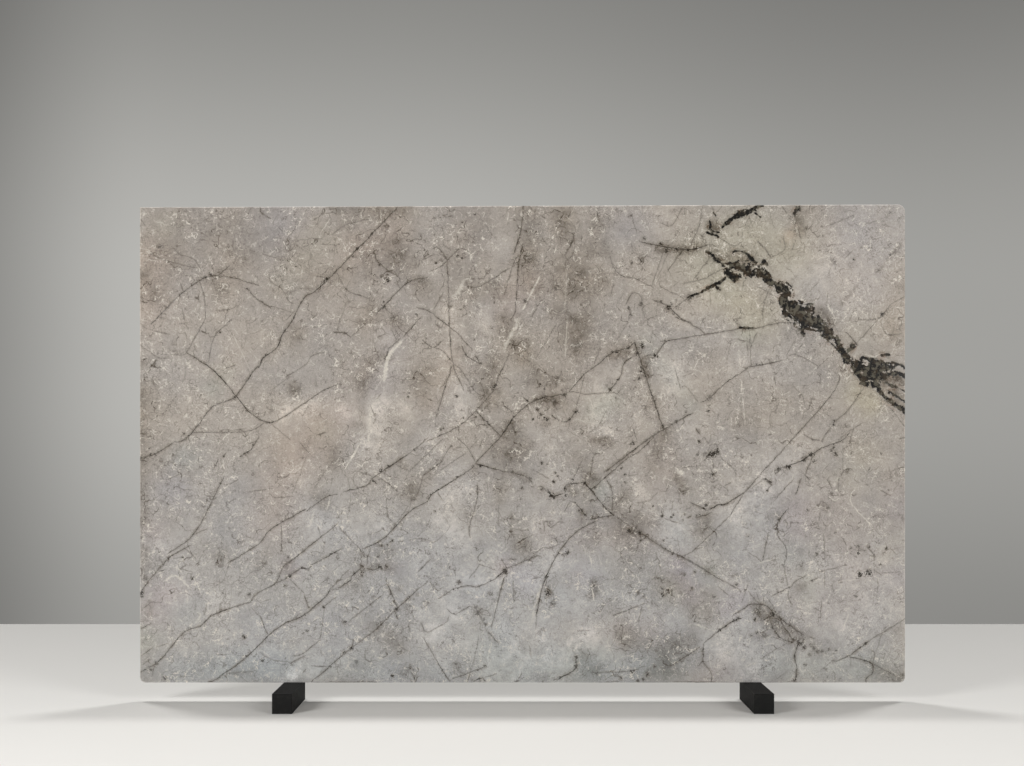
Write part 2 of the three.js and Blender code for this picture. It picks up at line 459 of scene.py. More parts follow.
# Where the veins run, in mm from the middle of the slab's lower edge
darkVeins = [  # width, strength, x and z of each point in turn
    (4, 0.5, [-1406, 1635, -1375, 1607, -1235, 1570]),
    (4, 0.55, [-1330, 1650, -1295, 1620, -1245, 1605, -1215, 1558]),
    (5, 0.8, [-1407, 1360, -1285, 1480, -1185, 1540, -1080, 1528, -1000, 1505]),
    (6, 0.9, [-1160, 1540, -1113, 1575]),
    (4, 0.6, [-1233, 1548, -1208, 1470, -1202, 1400, -1207, 1370, -1273, 1250]),
    (5, 0.8, [-1043, 1492, -1005, 1453, -955, 1420]), (4, 0.3, [-930, 1420, -865, 1400]),
    (4, 0.55, [-960, 1550, -955, 1520, -910, 1490, -885, 1445, -860, 1435]),
    (4, 0.5, [-985, 1625, -895, 1600, -865, 1620]), (5, 0.55, [-992, 1800, -988, 1780, -955, 1760]),
    (5, 0.6, [-900, 1665, -883, 1682]), (4, 0.45, [-1150, 1410, -1098, 1417, -1085, 1435]),
    (5, 0.55, [-1297, 1515, -1285, 1483]), (5, 0.6, [-1290, 1415, -1278, 1370]),
    (4, 0.5, [-1300, 1360, -1280, 1360, -1265, 1335]), (4, 0.5, [-1450, 1760, -1430, 1735]),
    (4, 0.45, [-1450, 1362, -1415, 1337, -1335, 1320]),
    (6, 1, [-475, 1800, -710, 1555, -790, 1480, -830, 1455, -883, 1355, -908, 1325, -930, 1270, -983, 1230,
      -995, 1200, -1013, 1188, -1075, 1100, -1100, 1075, -1175, 1045, -1250, 950, -1295, 913, -1315, 912]),
    (6, 0.7, [-778, 1542, -750, 1532]), (6, 0.35, [-790, 1493, -840, 1493, -880, 1475]),
    (7, 0.5, [-720, 1548, -702, 1550, -665, 1487, -580, 1455]),
    (11, 0.35, [-715, 1705, -660, 1738, -565, 1760]),
    (5, 0.6, [-565, 1645, -540, 1585, -468, 1535, -475, 1515, -460, 1488]),
    (4, 0.55, [-570, 1595, -573, 1550]), (6, 0.85, [-360, 1535, -435, 1515, -555, 1398]),
    (4, 0.6, [-525, 1425, -560, 1410]), (5, 0.5, [-525, 1423, -480, 1380]),
    (5, 0.6, [-350, 1560, -310, 1575, -285, 1600]), (6, 0.7, [-338, 1643, -320, 1649, -284, 1600]),
    (6, 0.6, [-315, 1626, -290, 1610]), (4, 0.5, [-300, 1478, -335, 1415]),
    (5, 0.75, [-400, 1420, -360, 1410, -295, 1363]), (5, 0.6, [-400, 1370, -385, 1385]),
    (4, 0.6, [-405, 1462, -387, 1445]), (5, 0.6, [-795, 1753, -775, 1765]),
    (4, 0.35, [-865, 1660, -845, 1678, -810, 1678]), (5, 0.45, [-515, 1700, -538, 1665]),
    (4, 0.3, [-692, 1360, -670, 1435]), (4, 0.35, [-760, 1660, -715, 1660]),
    (5, 0.9, [3, 1810, -5, 1720, -33, 1625]), (5, 0.85, [0, 1655, -17, 1560, -25, 1420, -45, 1377]),
    (4, 0.6, [-5, 1630, -35, 1585, -70, 1468]), (5, 0.7, [-50, 1570, -160, 1503, -200, 1498]),
    (4, 0.4, [-100, 1490, -80, 1435]), (5, 0.65, [-285, 1600, -245, 1640, -230, 1645, -200, 1632]),
    (5, 0.7, [-285, 1600, -277, 1360]), (4, 0.5, [-285, 1600, -315, 1573]),
    (4, 0.45, [-298, 1680, -300, 1660, -275, 1642]), (4, 0.7, [198, 1690, 168, 1630]),
    (4, 0.6, [175, 1707, 195, 1697, 195, 1640, 190, 1620, 163, 1597, 164, 1570]),
    (4, 0.45, [60, 1433, 35, 1385]), (4, 0.35, [50, 1790, 43, 1740]),
    (8, 1, [450, 1668, 620, 1640, 700, 1658]), (4, 0.65, [605, 1635, 550, 1560]),
    (4, 0.55, [535, 1640, 490, 1500]), (4, 0.35, [550, 1625, 505, 1520]),
    (4, 0.6, [332, 1615, 345, 1570, 380, 1540, 420, 1533, 495, 1497]),
    (5, 0.65, [520, 1515, 525, 1500, 610, 1455]), (6, 0.8, [495, 1450, 550, 1430]),
    (8, 0.9, [555, 1425, 600, 1380, 640, 1362]), (5, 0.55, [570, 1415, 630, 1463]),
    (8, 0.5, [610, 1512, 680, 1528, 755, 1567]), (4, 0.55, [650, 1530, 705, 1605, 703, 1620]),
    (4, 0.45, [610, 1805, 565, 1733, 525, 1740]), (5, 0.6, [682, 1800, 668, 1730, 638, 1657]),
    (4, 0.5, [660, 1700, 690, 1690]), (4, 0.5, [720, 1795, 730, 1780, 757, 1803]),
    (4, 0.55, [740, 1688, 800, 1655, 830, 1670]), (4, 0.7, [832, 1705, 832, 1683]),
    (7, 0.6, [390, 1430, 410, 1470, 425, 1477, 440, 1473, 450, 1455, 450, 1428]),
    (5, 0.7, [400, 1425, 412, 1390]), (4, 0.5, [410, 1390, 395, 1360]), (6, 0.9, [438, 1612, 451, 1597]),
    (4, 0.35, [455, 1450, 460, 1360]), (4, 0.4, [525, 1397, 460, 1370]), (4, 0.35, [280, 1800, 295, 1730]),
    (4, 0.35, [352, 1570, 335, 1460]), (4, 0.35, [710, 1490, 713, 1430]), (4, 0.5, [630, 1440, 647, 1413]),
    (4, 0.4, [410, 1775, 433, 1710]), (4, 0.55, [940, 1500, 913, 1430, 910, 1360]),
    (4, 0.5, [890, 1500, 965, 1460]), (4, 0.65, [980, 1810, 1000, 1780]), (4, 0.6, [1010, 1760, 1033, 1740]),
    (5, 0.65, [1047, 1725, 1053, 1685]), (4, 0.5, [1005, 1720, 1035, 1713]),
    (5, 0.5, [990, 1690, 993, 1640, 940, 1610]), (4, 0.45, [1035, 1675, 1020, 1640]),
    (4, 0.65, [890, 1673, 920, 1645, 940, 1610]), (4, 0.6, [1225, 1610, 1250, 1635]),
    (4, 0.6, [1270, 1375, 1330, 1375, 1360, 1390, 1400, 1435, 1450, 1463]),
    (4, 0.45, [1155, 1730, 1255, 1770]), (4, 0.45, [1300, 1735, 1345, 1753]),
    (4, 0.5, [1085, 1480, 1120, 1515]), (4, 0.4, [1157, 1480, 1152, 1435]),
    (4, 0.5, [1160, 1550, 1170, 1575]), (6, 1, [-1273, 1250, -1160, 1173, -1045, 1037, -985, 992, -955, 986]),
    (4, 0.65, [-1335, 1255, -1310, 1257]), (4, 0.65, [-1330, 1243, -1290, 1240, -1273, 1249]),
    (4, 0.5, [-1450, 1280, -1380, 1233, -1340, 1230]), (4, 0.65, [-1105, 1375, -1170, 1305, -1190, 1215]),
    (5, 0.85, [-955, 986, -910, 1003, -770, 1097, -705, 1130]),
    (5, 0.65, [-1250, 948, -1045, 952, -980, 983]), (4, 0.45, [-1125, 953, -1050, 962]),
    (4, 0.45, [-955, 983, -880, 920]), (4, 0.4, [-1370, 1008, -1340, 1045]),
    (4, 0.5, [-1130, 1190, -1090, 1203]), (4, 0.3, [-1275, 1200, -1280, 1150]),
    (4, 0.35, [-950, 1110, -875, 1165]), (4, 0.5, [-750, 1253, -800, 1237, -820, 1207, -900, 1155]),
    (4, 0.45, [-693, 1380, -703, 1328]), (5, 0.95, [-715, 1328, -675, 1324, -653, 1310]),
    (4, 0.6, [-650, 1310, -585, 1370]), (4, 0.3, [-690, 1190, -663, 1233]),
    (4, 0.7, [-577, 1050, -559, 1013]), (4, 0.45, [-560, 1070, -535, 1095]),
    (6, 0.85, [-450, 1312, -390, 1380]), (4, 0.6, [-485, 1345, -468, 1315]),
    (4, 0.6, [-498, 1340, -478, 1302]), (8, 0.8, [-465, 1302, -508, 1265]),
    (7, 0.55, [-508, 1263, -522, 1220]), (5, 0.7, [-380, 1300, -355, 1277, -300, 1255, -267, 1215]),
    (4, 0.6, [-305, 1295, -335, 1270, -375, 1265, -380, 1255]), (4, 0.3, [-490, 960, -450, 935]),
    (4, 0.4, [-835, 1005, -810, 1050]), (5, 0.75, [-277, 1360, -264, 1210, -223, 1110]),
    (5, 0.7, [-310, 1373, -250, 1327, -190, 1260]), (8, 0.75, [-228, 1275, -212, 1237, -158, 1207]),
    (6, 0.7, [-178, 1240, -162, 1210]), (4, 0.5, [-264, 1210, -230, 1182, -178, 1100, -140, 1087]),
    (5, 0.7, [-266, 1205, -330, 1000]), (4, 0.6, [-50, 1245, -72, 1200]), (8, 1, [-70, 1200, -92, 1160]),
    (5, 0.75, [-93, 1160, -110, 1110, -180, 1027, -245, 970, -360, 915]), (6, 0.85, [-175, 1028, -87, 937]),
    (8, 0.95, [-90, 920, -20, 1018, 50, 1070, 160, 1095]), (4, 0.5, [-45, 985, -27, 950]),
    (5, 0.6, [-75, 1065, -65, 1045, -40, 1027]), (6, 0.9, [3, 1080, 22, 1065]),
    (6, 0.8, [110, 1013, 135, 995, 170, 990, 203, 1027]), (6, 0.8, [175, 1100, 237, 1170, 285, 1203]),
    (4, 0.6, [160, 1095, 190, 1102, 240, 1093, 300, 1098]), (4, 0.55, [235, 1165, 203, 1040]),
    (4, 0.45, [148, 1180, 120, 1110]), (4, 0.45, [130, 1360, 48, 1225]), (6, 0.8, [-246, 970, -240, 952]),
    (7, 0.9, [285, 1203, 340, 1250, 400, 1268, 422, 1288]), (8, 0.95, [425, 1287, 533, 963]),
    (6, 0.9, [420, 1238, 383, 1207, 370, 1160, 325, 1100]), (4, 0.6, [325, 1100, 280, 1094]),
    (6, 0.8, [506, 1242, 540, 1290, 560, 1297, 830, 1342]), (12, 1, [813, 1341, 880, 1342]),
    (6, 0.45, [500, 1240, 455, 1237]), (7, 0.75, [580, 1385, 660, 1347, 690, 1323]),
    (4, 0.5, [575, 1197, 600, 1110]), (4, 0.45, [600, 1115, 610, 1125, 630, 1110, 665, 1064]),
    (6, 0.8, [860, 1195, 765, 1132, 710, 1080, 675, 1063]), (6, 0.8, [647, 1023, 595, 995]),
    (5, 0.7, [608, 1000, 613, 988, 605, 977]), (6, 0.7, [595, 995, 455, 913]), (4, 0.5, [540, 962, 550, 935]),
    (8, 0.95, [658, 963, 672, 943]), (4, 0.7, [420, 960, 433, 915]), (4, 0.4, [320, 1040, 285, 965]),
    (4, 0.4, [400, 1365, 355, 1300]), (4, 0.4, [290, 1255, 270, 1207]), (4, 0.3, [790, 1290, 770, 1210]),
    (4, 0.4, [850, 1310, 854, 1240]), (4, 0.5, [800, 1303, 860, 1292]), (4, 0.4, [695, 1055, 730, 1020]),
    (6, 0.8, [875, 1340, 960, 1360, 1040, 1363]), (7, 0.85, [840, 1192, 985, 1220]),
    (4, 0.5, [1000, 1233, 1040, 1242, 1120, 1200]), (4, 0.5, [860, 1340, 866, 1200]),
    (5, 0.55, [888, 1325, 860, 1260]), (4, 0.4, [1035, 1300, 998, 1240]),
    (5, 0.8, [1200, 1165, 1198, 1140, 1155, 1070, 1010, 910]),
    (5, 0.6, [1290, 1115, 1235, 1033, 1185, 990, 1130, 910]), (4, 0.5, [1230, 947, 1285, 983]),
    (4, 0.5, [1240, 915, 1255, 965]), (4, 0.45, [1195, 920, 1230, 947]),
    (6, 0.65, [1065, 940, 1105, 920, 1125, 920]), (5, 0.6, [955, 1160, 958, 1130]),
    (4, 0.45, [1030, 1120, 1060, 1090, 1068, 1060]), (5, 0.7, [1263, 1285, 1228, 1327]),
    (6, 0.6, [1270, 1290, 1355, 1385]), (4, 0.5, [1353, 1375, 1380, 1323, 1435, 1320]),
    (4, 0.55, [1380, 1055, 1450, 970]), (5, 0.65, [1365, 1243, 1390, 1240]),
    (6, 0.85, [-1325, 907, -1390, 867, -1450, 848]), (7, 0.8, [-1450, 842, -1428, 840]),
    (6, 0.85, [-1000, 930, -1030, 883, -1073, 854]), (6, 0.9, [-1125, 870, -1133, 855]),
    (5, 0.75, [-1153, 845, -1170, 813]), (6, 0.85, [-1133, 778, -1210, 620, -1257, 550, -1340, 490]),
    (4, 0.6, [-1078, 770, -1110, 752, -1145, 753]), (5, 0.6, [-1245, 563, -1195, 583]),
    (6, 0.85, [-1260, 520, -1340, 473, -1365, 440]), (4, 0.5, [-1280, 510, -1240, 473]),
    (4, 0.6, [-1320, 470, -1288, 475]), (6, 0.9, [-820, 658, -955, 580, -997, 528, -1115, 453]),
    (4, 0.6, [-913, 597, -913, 500]), (5, 0.6, [-1450, 603, -1420, 627]), (4, 0.5, [-1345, 770, -1290, 793]),
    (4, 0.5, [-1045, 720, -950, 735]), (4, 0.5, [-955, 715, -940, 703, -875, 705]),
    (4, 0.65, [-360, 925, -430, 868]), (8, 1, [-430, 868, -572, 773]),
    (6, 0.85, [-572, 773, -590, 747, -670, 725]), (6, 0.8, [-705, 715, -750, 700, -820, 650]),
    (8, 0.95, [-570, 770, -552, 754]), (4, 0.55, [-300, 925, -430, 800]), (5, 0.5, [-430, 800, -485, 830]),
    (5, 0.7, [-300, 840, -375, 785]), (4, 0.5, [-375, 785, -405, 695]),
    (6, 0.6, [-545, 770, -530, 770, -475, 725]),
    (6, 0.95, [-300, 743, -345, 713, -365, 683, -420, 655, -525, 548, -600, 508]),
    (5, 0.7, [-325, 726, -305, 695]), (6, 0.8, [-615, 503, -598, 480]), (6, 0.7, [-577, 510, -592, 458]),
    (4, 0.55, [-700, 595, -615, 503]), (6, 0.8, [-700, 602, -890, 450]), (6, 0.85, [-685, 508, -795, 448]),
    (4, 0.7, [-470, 535, -450, 538]), (3, 0.4, [-430, 540, -380, 547, -330, 535, -270, 595]),
    (5, 0.7, [-533, 496, -518, 505]), (4, 0.5, [-518, 700, -508, 628, -485, 603]),
    (4, 0.45, [-480, 600, -433, 670]), (5, 0.5, [-420, 700, -425, 670]), (5, 0.5, [-625, 800, -570, 783]),
    (4, 0.4, [-790, 735, -745, 805]), (4, 0.4, [-870, 720, -820, 850]), (7, 0.4, [-845, 910, -805, 865]),
    (4, 0.5, [-600, 735, -603, 720, -585, 710]), (7, 0.9, [-320, 728, -195, 810, -185, 825]),
    (8, 0.9, [-180, 830, -90, 806]), (9, 0.55, [-90, 806, 5, 783, 35, 758]), (6, 0.85, [-80, 935, -177, 833]),
    (6, 0.65, [-250, 930, -205, 885, -178, 835]), (5, 0.6, [-320, 820, -270, 900]),
    (4, 0.45, [-310, 805, -200, 880]), (4, 0.4, [-200, 885, -170, 920]), (5, 0.6, [-152, 920, -163, 893]),
    (6, 0.65, [-170, 750, -173, 690, -200, 595, -200, 555]), (4, 0.35, [-90, 680, -90, 595]),
    (11, 1, [95, 730, 115, 708, 150, 716]), (6, 0.7, [95, 725, 70, 745, 63, 740]),
    (8, 0.9, [163, 724, 160, 738, 170, 750, 215, 757]), (4, 0.55, [55, 800, 100, 772]),
    (8, 0.95, [215, 757, 235, 757, 275, 710]), (4, 0.5, [225, 780, 255, 760]), (5, 0.7, [268, 855, 257, 785]),
    (4, 0.5, [225, 840, 193, 775]), (6, 0.9, [280, 613, 200, 568, 138, 495, 112, 450]),
    (7, 0.8, [185, 685, 205, 675, 243, 628]), (4, 0.6, [40, 487, 80, 510, 105, 509, 140, 525]),
    (5, 0.85, [126, 543, 131, 530]), (4, 0.5, [140, 533, 165, 537]), (6, 0.7, [155, 488, 182, 493]),
    (4, 0.45, [160, 650, 178, 683]), (4, 0.45, [110, 590, 145, 615]), (5, 0.6, [-20, 530, 40, 560]),
    (6, 0.8, [260, 730, 391, 844, 445, 879, 510, 945]), (7, 0.8, [315, 800, 500, 940]),
    (6, 0.95, [260, 732, 313, 662, 346, 635]), (4, 0.6, [346, 635, 415, 588]), (8, 1, [260, 619, 340, 635]),
    (5, 0.65, [340, 645, 340, 721, 319, 768]), (4, 0.5, [351, 670, 386, 713]), (4, 0.5, [344, 867, 359, 846]),
    (4, 0.45, [433, 681, 479, 688, 513, 724]), (6, 0.6, [415, 570, 450, 565, 550, 500, 605, 477]),
    (4, 0.65, [600, 477, 652, 504, 787, 635]), (6, 0.75, [787, 635, 842, 721]),
    (6, 0.8, [842, 721, 873, 755]), (6, 0.75, [600, 479, 655, 445]),
    (8, 1, [842, 721, 766, 675, 745, 675, 702, 654]), (6, 0.85, [702, 654, 639, 681]),
    (10, 0.75, [658, 624, 713, 643]), (8, 0.95, [625, 626, 637, 633]), (4, 0.5, [618, 652, 652, 675]),
    (5, 0.65, [540, 620, 585, 606]), (4, 0.65, [526, 650, 532, 630]), (5, 0.65, [705, 856, 686, 842]),
    (4, 0.6, [721, 833, 721, 812]), (6, 0.85, [698, 797, 719, 789, 736, 795]),
    (4, 0.65, [751, 854, 791, 816]), (5, 0.7, [768, 747, 791, 759]), (4, 0.5, [690, 707, 702, 724, 715, 707]),
    (5, 0.7, [660, 860, 670, 877]), (4, 0.4, [570, 685, 565, 630]), (6, 0.85, [850, 732, 915, 804]),
    (4, 0.8, [915, 804, 1040, 940]), (4, 0.5, [869, 738, 907, 768]), (10, 1, [909, 770, 926, 770, 944, 749]),
    (6, 0.8, [944, 749, 926, 730]), (9, 0.85, [957, 804, 1056, 839]), (10, 1, [1056, 839, 1130, 888]),
    (6, 0.9, [1130, 888, 1208, 917, 1240, 945]), (6, 0.7, [960, 791, 980, 808]),
    (5, 0.6, [1052, 848, 1078, 860]), (4, 0.6, [985, 808, 995, 795]), (6, 0.85, [1099, 855, 1073, 793]),
    (5, 0.8, [1071, 785, 1084, 774]), (8, 0.8, [1056, 774, 1035, 715]), (5, 0.65, [1025, 768, 953, 692]),
    (8, 0.7, [1099, 924, 1124, 917]), (5, 0.7, [1143, 928, 1134, 909]), (4, 0.6, [1246, 926, 1238, 905]),
    (4, 0.4, [1215, 896, 1212, 808]), (5, 0.7, [1231, 810, 1217, 804, 1206, 783]),
    (4, 0.4, [1200, 780, 1195, 710]), (4, 0.6, [1156, 770, 1172, 738]), (4, 0.7, [1318, 814, 1311, 804]),
    (4, 0.7, [1360, 728, 1394, 709]), (5, 0.7, [1432, 926, 1450, 930]),
    (6, 0.85, [1002, 656, 968, 606, 966, 559]), (4, 0.65, [966, 559, 1000, 504, 990, 435]),
    (5, 0.75, [932, 568, 909, 462]), (7, 0.7, [985, 580, 989, 568]), (5, 0.65, [1103, 587, 1130, 582]),
    (4, 0.5, [1141, 563, 1146, 453]), (5, 0.7, [1212, 547, 1227, 523]), (5, 0.7, [1274, 521, 1274, 488]),
    (4, 0.6, [1270, 500, 1300, 502]), (5, 0.65, [1309, 513, 1333, 481]), (4, 0.5, [1130, 650, 1124, 614]),
    (4, 0.45, [855, 495, 900, 465]), (5, 0.8, [-1447, 325, -1444, 344, -1407, 396, -1330, 485]),
    (7, 0.95, [-1373, 422, -1356, 426]), (5, 0.7, [-1445, 205, -1407, 224]),
    (6, 0.9, [-1449, 40, -1375, 84, -1285, 188, -1221, 215, -1179, 256]), (8, 1, [-1179, 256, -1097, 286]),
    (6, 0.85, [-1097, 286, -1030, 306]), (5, 0.8, [-1030, 306, -1011, 335, -937, 377, -907, 436, -876, 462]),
    (5, 0.6, [-937, 377, -893, 394]), (6, 0.95, [-1192, 2, -1158, 15, -1044, 98, -952, 188, -897, 226]),
    (5, 0.8, [-966, 183, -994, 251]), (4, 0.5, [-994, 251, -1023, 280]), (4, 0.5, [-1205, 259, -1194, 297]),
    (5, 0.7, [-1112, 453, -1080, 475]), (3, 0.4, [-1179, 356, -1133, 390, -1112, 453]),
    (5, 0.6, [-1443, 103, -1403, 133]), (4, 0.5, [-1386, 137, -1344, 148]), (5, 0.5, [-1443, 65, -1407, 89]),
    (4, 0.5, [-1158, 105, -1120, 108]), (6, 0.4, [-1112, 36, -1023, 42]),
    (4, 0.5, [-994, 112, -939, 84, -880, 78]), (4, 0.5, [-979, 310, -952, 316]),
    (8, 1, [-900, 226, -824, 259, -744, 327, -729, 352]), (5, 0.7, [-729, 352, -658, 428]),
    (5, 0.5, [-875, 237, -845, 261]), (5, 0.8, [-719, 352, -698, 354]),
    (7, 0.85, [-700, 358, -651, 388, -643, 407, -609, 438]),
    (6, 0.8, [-588, 432, -563, 428, -540, 438, -533, 428]), (5, 0.7, [-588, 462, -590, 450]),
    (4, 0.7, [-635, 468, -637, 460]), (7, 0.9, [-900, 394, -837, 434, -820, 428, -801, 438]),
    (5, 0.8, [-900, 445, -870, 468]), (4, 0.6, [-879, 390, -828, 339]), (5, 0.75, [-828, 332, -812, 289]),
    (5, 0.7, [-753, 287, -708, 323]), (4, 0.45, [-750, 285, -767, 162]),
    (6, 0.65, [-767, 162, -833, 110, -870, 101]), (6, 0.65, [-881, 74, -820, 103]),
    (6, 0.85, [-801, 2, -649, 131]), (5, 0.7, [-649, 131, -563, 196, -491, 266]),
    (6, 0.9, [-491, 266, -394, 356]), (4, 0.5, [-394, 356, -356, 384]), (8, 0.8, [-512, 373, -476, 289]),
    (6, 0.8, [-487, 276, -472, 242]), (4, 0.6, [-662, 228, -533, 331]), (5, 0.7, [-348, 466, -394, 422]),
    (4, 0.5, [-352, 382, -321, 348]), (4, 0.6, [-377, 196, -352, 194, -300, 221]),
    (8, 0.6, [-382, 226, -373, 196]), (5, 0.6, [-377, 171, -304, 46]), (6, 0.6, [-426, 70, -424, 53]),
    (5, 0.7, [-420, 36, -403, 6]), (4, 0.6, [-799, 62, -740, 61]), (4, 0.6, [-833, 40, -822, 51]),
    (5, 0.6, [-369, 308, -352, 301, -377, 285]),
    (5, 0.7, [-320, 316, -261, 354, -210, 367, -166, 365, -101, 394]), (9, 0.85, [-101, 394, -59, 432]),
    (6, 0.75, [-59, 432, 60, 483]), (5, 0.6, [-80, 468, -59, 434]), (10, 0.6, [-50, 468, -25, 468]),
    (6, 0.85, [-68, 400, -95, 301]), (5, 0.65, [-95, 301, -118, 209]), (4, 0.55, [-36, 390, -33, 306]),
    (8, 0.95, [122, 470, 78, 373, 53, 255]), (4, 0.4, [53, 255, 49, 200]), (12, 0.6, [-139, 200, -92, 150]),
    (14, 0.5, [-185, 297, -143, 221]), (5, 0.65, [-286, 278, -257, 259, -198, 291]),
    (4, 0.6, [-278, 255, -288, 230, -320, 213]), (4, 0.55, [-164, 445, -202, 396]),
    (5, 0.5, [-162, 449, -101, 424]), (5, 0.8, [-320, 74, -276, 4]), (5, 0.7, [-272, 11, -140, 60]),
    (6, 0.6, [-208, 2, -194, 53]), (10, 0.8, [-185, 4, -151, 17, -143, 6]), (4, 0.5, [-151, 19, -97, 34]),
    (6, 0.5, [-185, 74, -166, 175]), (10, 0.9, [-31, 4, -14, 9]), (5, 0.6, [-14, 9, -2, 40]),
    (4, 0.5, [26, 141, 34, 99]), (10, 0.8, [203, 99, 198, 49, 118, 9]), (4, 0.5, [211, 196, 257, 198]),
    (11, 0.7, [622, 470, 757, 386]), (7, 0.45, [757, 386, 823, 354]), (5, 0.5, [743, 363, 780, 331]),
    (5, 0.5, [854, 377, 831, 306]), (6, 0.85, [860, 295, 795, 253]),
    (8, 0.95, [833, 245, 804, 236, 732, 188]), (6, 0.8, [732, 188, 686, 148]), (7, 0.8, [686, 148, 684, 78]),
    (5, 0.75, [684, 78, 713, 40, 718, 0]), (7, 0.75, [673, 135, 563, 63]), (6, 0.65, [466, 301, 344, 255]),
    (5, 0.5, [454, 293, 437, 217]), (5, 0.55, [260, 38, 412, 44, 462, 63]), (4, 0.6, [336, 4, 360, 6]),
    # the first two marks on the next line are not veins: they draw a dark line along the slab's lower edge
    (4, 0.8, [570, 2, 730, 2]), (4, 0.7, [-730, 2, -550, 2]), (10, 1, [955, 259, 911, 238]),
    (8, 0.85, [949, 265, 922, 293, 867, 297, 850, 289]), (8, 0.85, [957, 257, 1065, 179]),
    (8, 0.8, [936, 242, 953, 200, 985, 164, 1023, 152]), (6, 0.7, [976, 234, 1027, 158]),
    (7, 0.85, [1046, 150, 1031, 99, 1040, 49, 1031, 6]), (5, 0.7, [1008, 3, 1029, 7]),
    (4, 0.5, [997, 148, 905, 91]), (4, 0.55, [854, 348, 892, 301]), (4, 0.55, [888, 335, 901, 301]),
    (4, 0.5, [930, 318, 955, 280]), (5, 0.6, [875, 280, 905, 242]), (4, 0.45, [915, 330, 912, 298]),
    (5, 0.75, [947, 329, 1019, 365]), (5, 0.6, [1019, 365, 1035, 386, 1073, 403]),
    (4, 0.7, [1008, 348, 1006, 327, 1021, 297]), (4, 0.45, [989, 449, 1006, 363]),
    (5, 0.6, [1086, 384, 1120, 396]), (4, 0.55, [1120, 419, 1229, 445]), (5, 0.65, [1333, 426, 1362, 407]),
    (4, 0.5, [1368, 415, 1432, 419]), (4, 0.4, [1347, 390, 1347, 344]), (4, 0.45, [1145, 424, 1145, 365]),
    (5, 0.5, [1134, 310, 1128, 242]), (5, 0.65, [1450, 242, 1315, 160]), (8, 0.95, [1315, 160, 1244, 105]),
    (6, 0.85, [1244, 105, 1196, 83]), (9, 0.95, [1196, 83, 1174, 82]), (4, 0.5, [1170, 80, 1137, 51]),
    (4, 0.45, [1385, 217, 1364, 196]), (8, 0.9, [1242, 97, 1318, 76, 1328, 40, 1304, 17, 1303, 2]),
    (4, 0.6, [1244, 95, 1243, 64]), (8, 0.55, [1322, 74, 1415, 25]),
    (5, 0.55, [1322, 122, 1335, 112, 1328, 78]), (4, 0.4, [1362, 188, 1339, 116]),
    (6, 0.6, [1415, 57, 1440, 65]), (5, 0.6, [1088, 173, 1106, 168]),
]
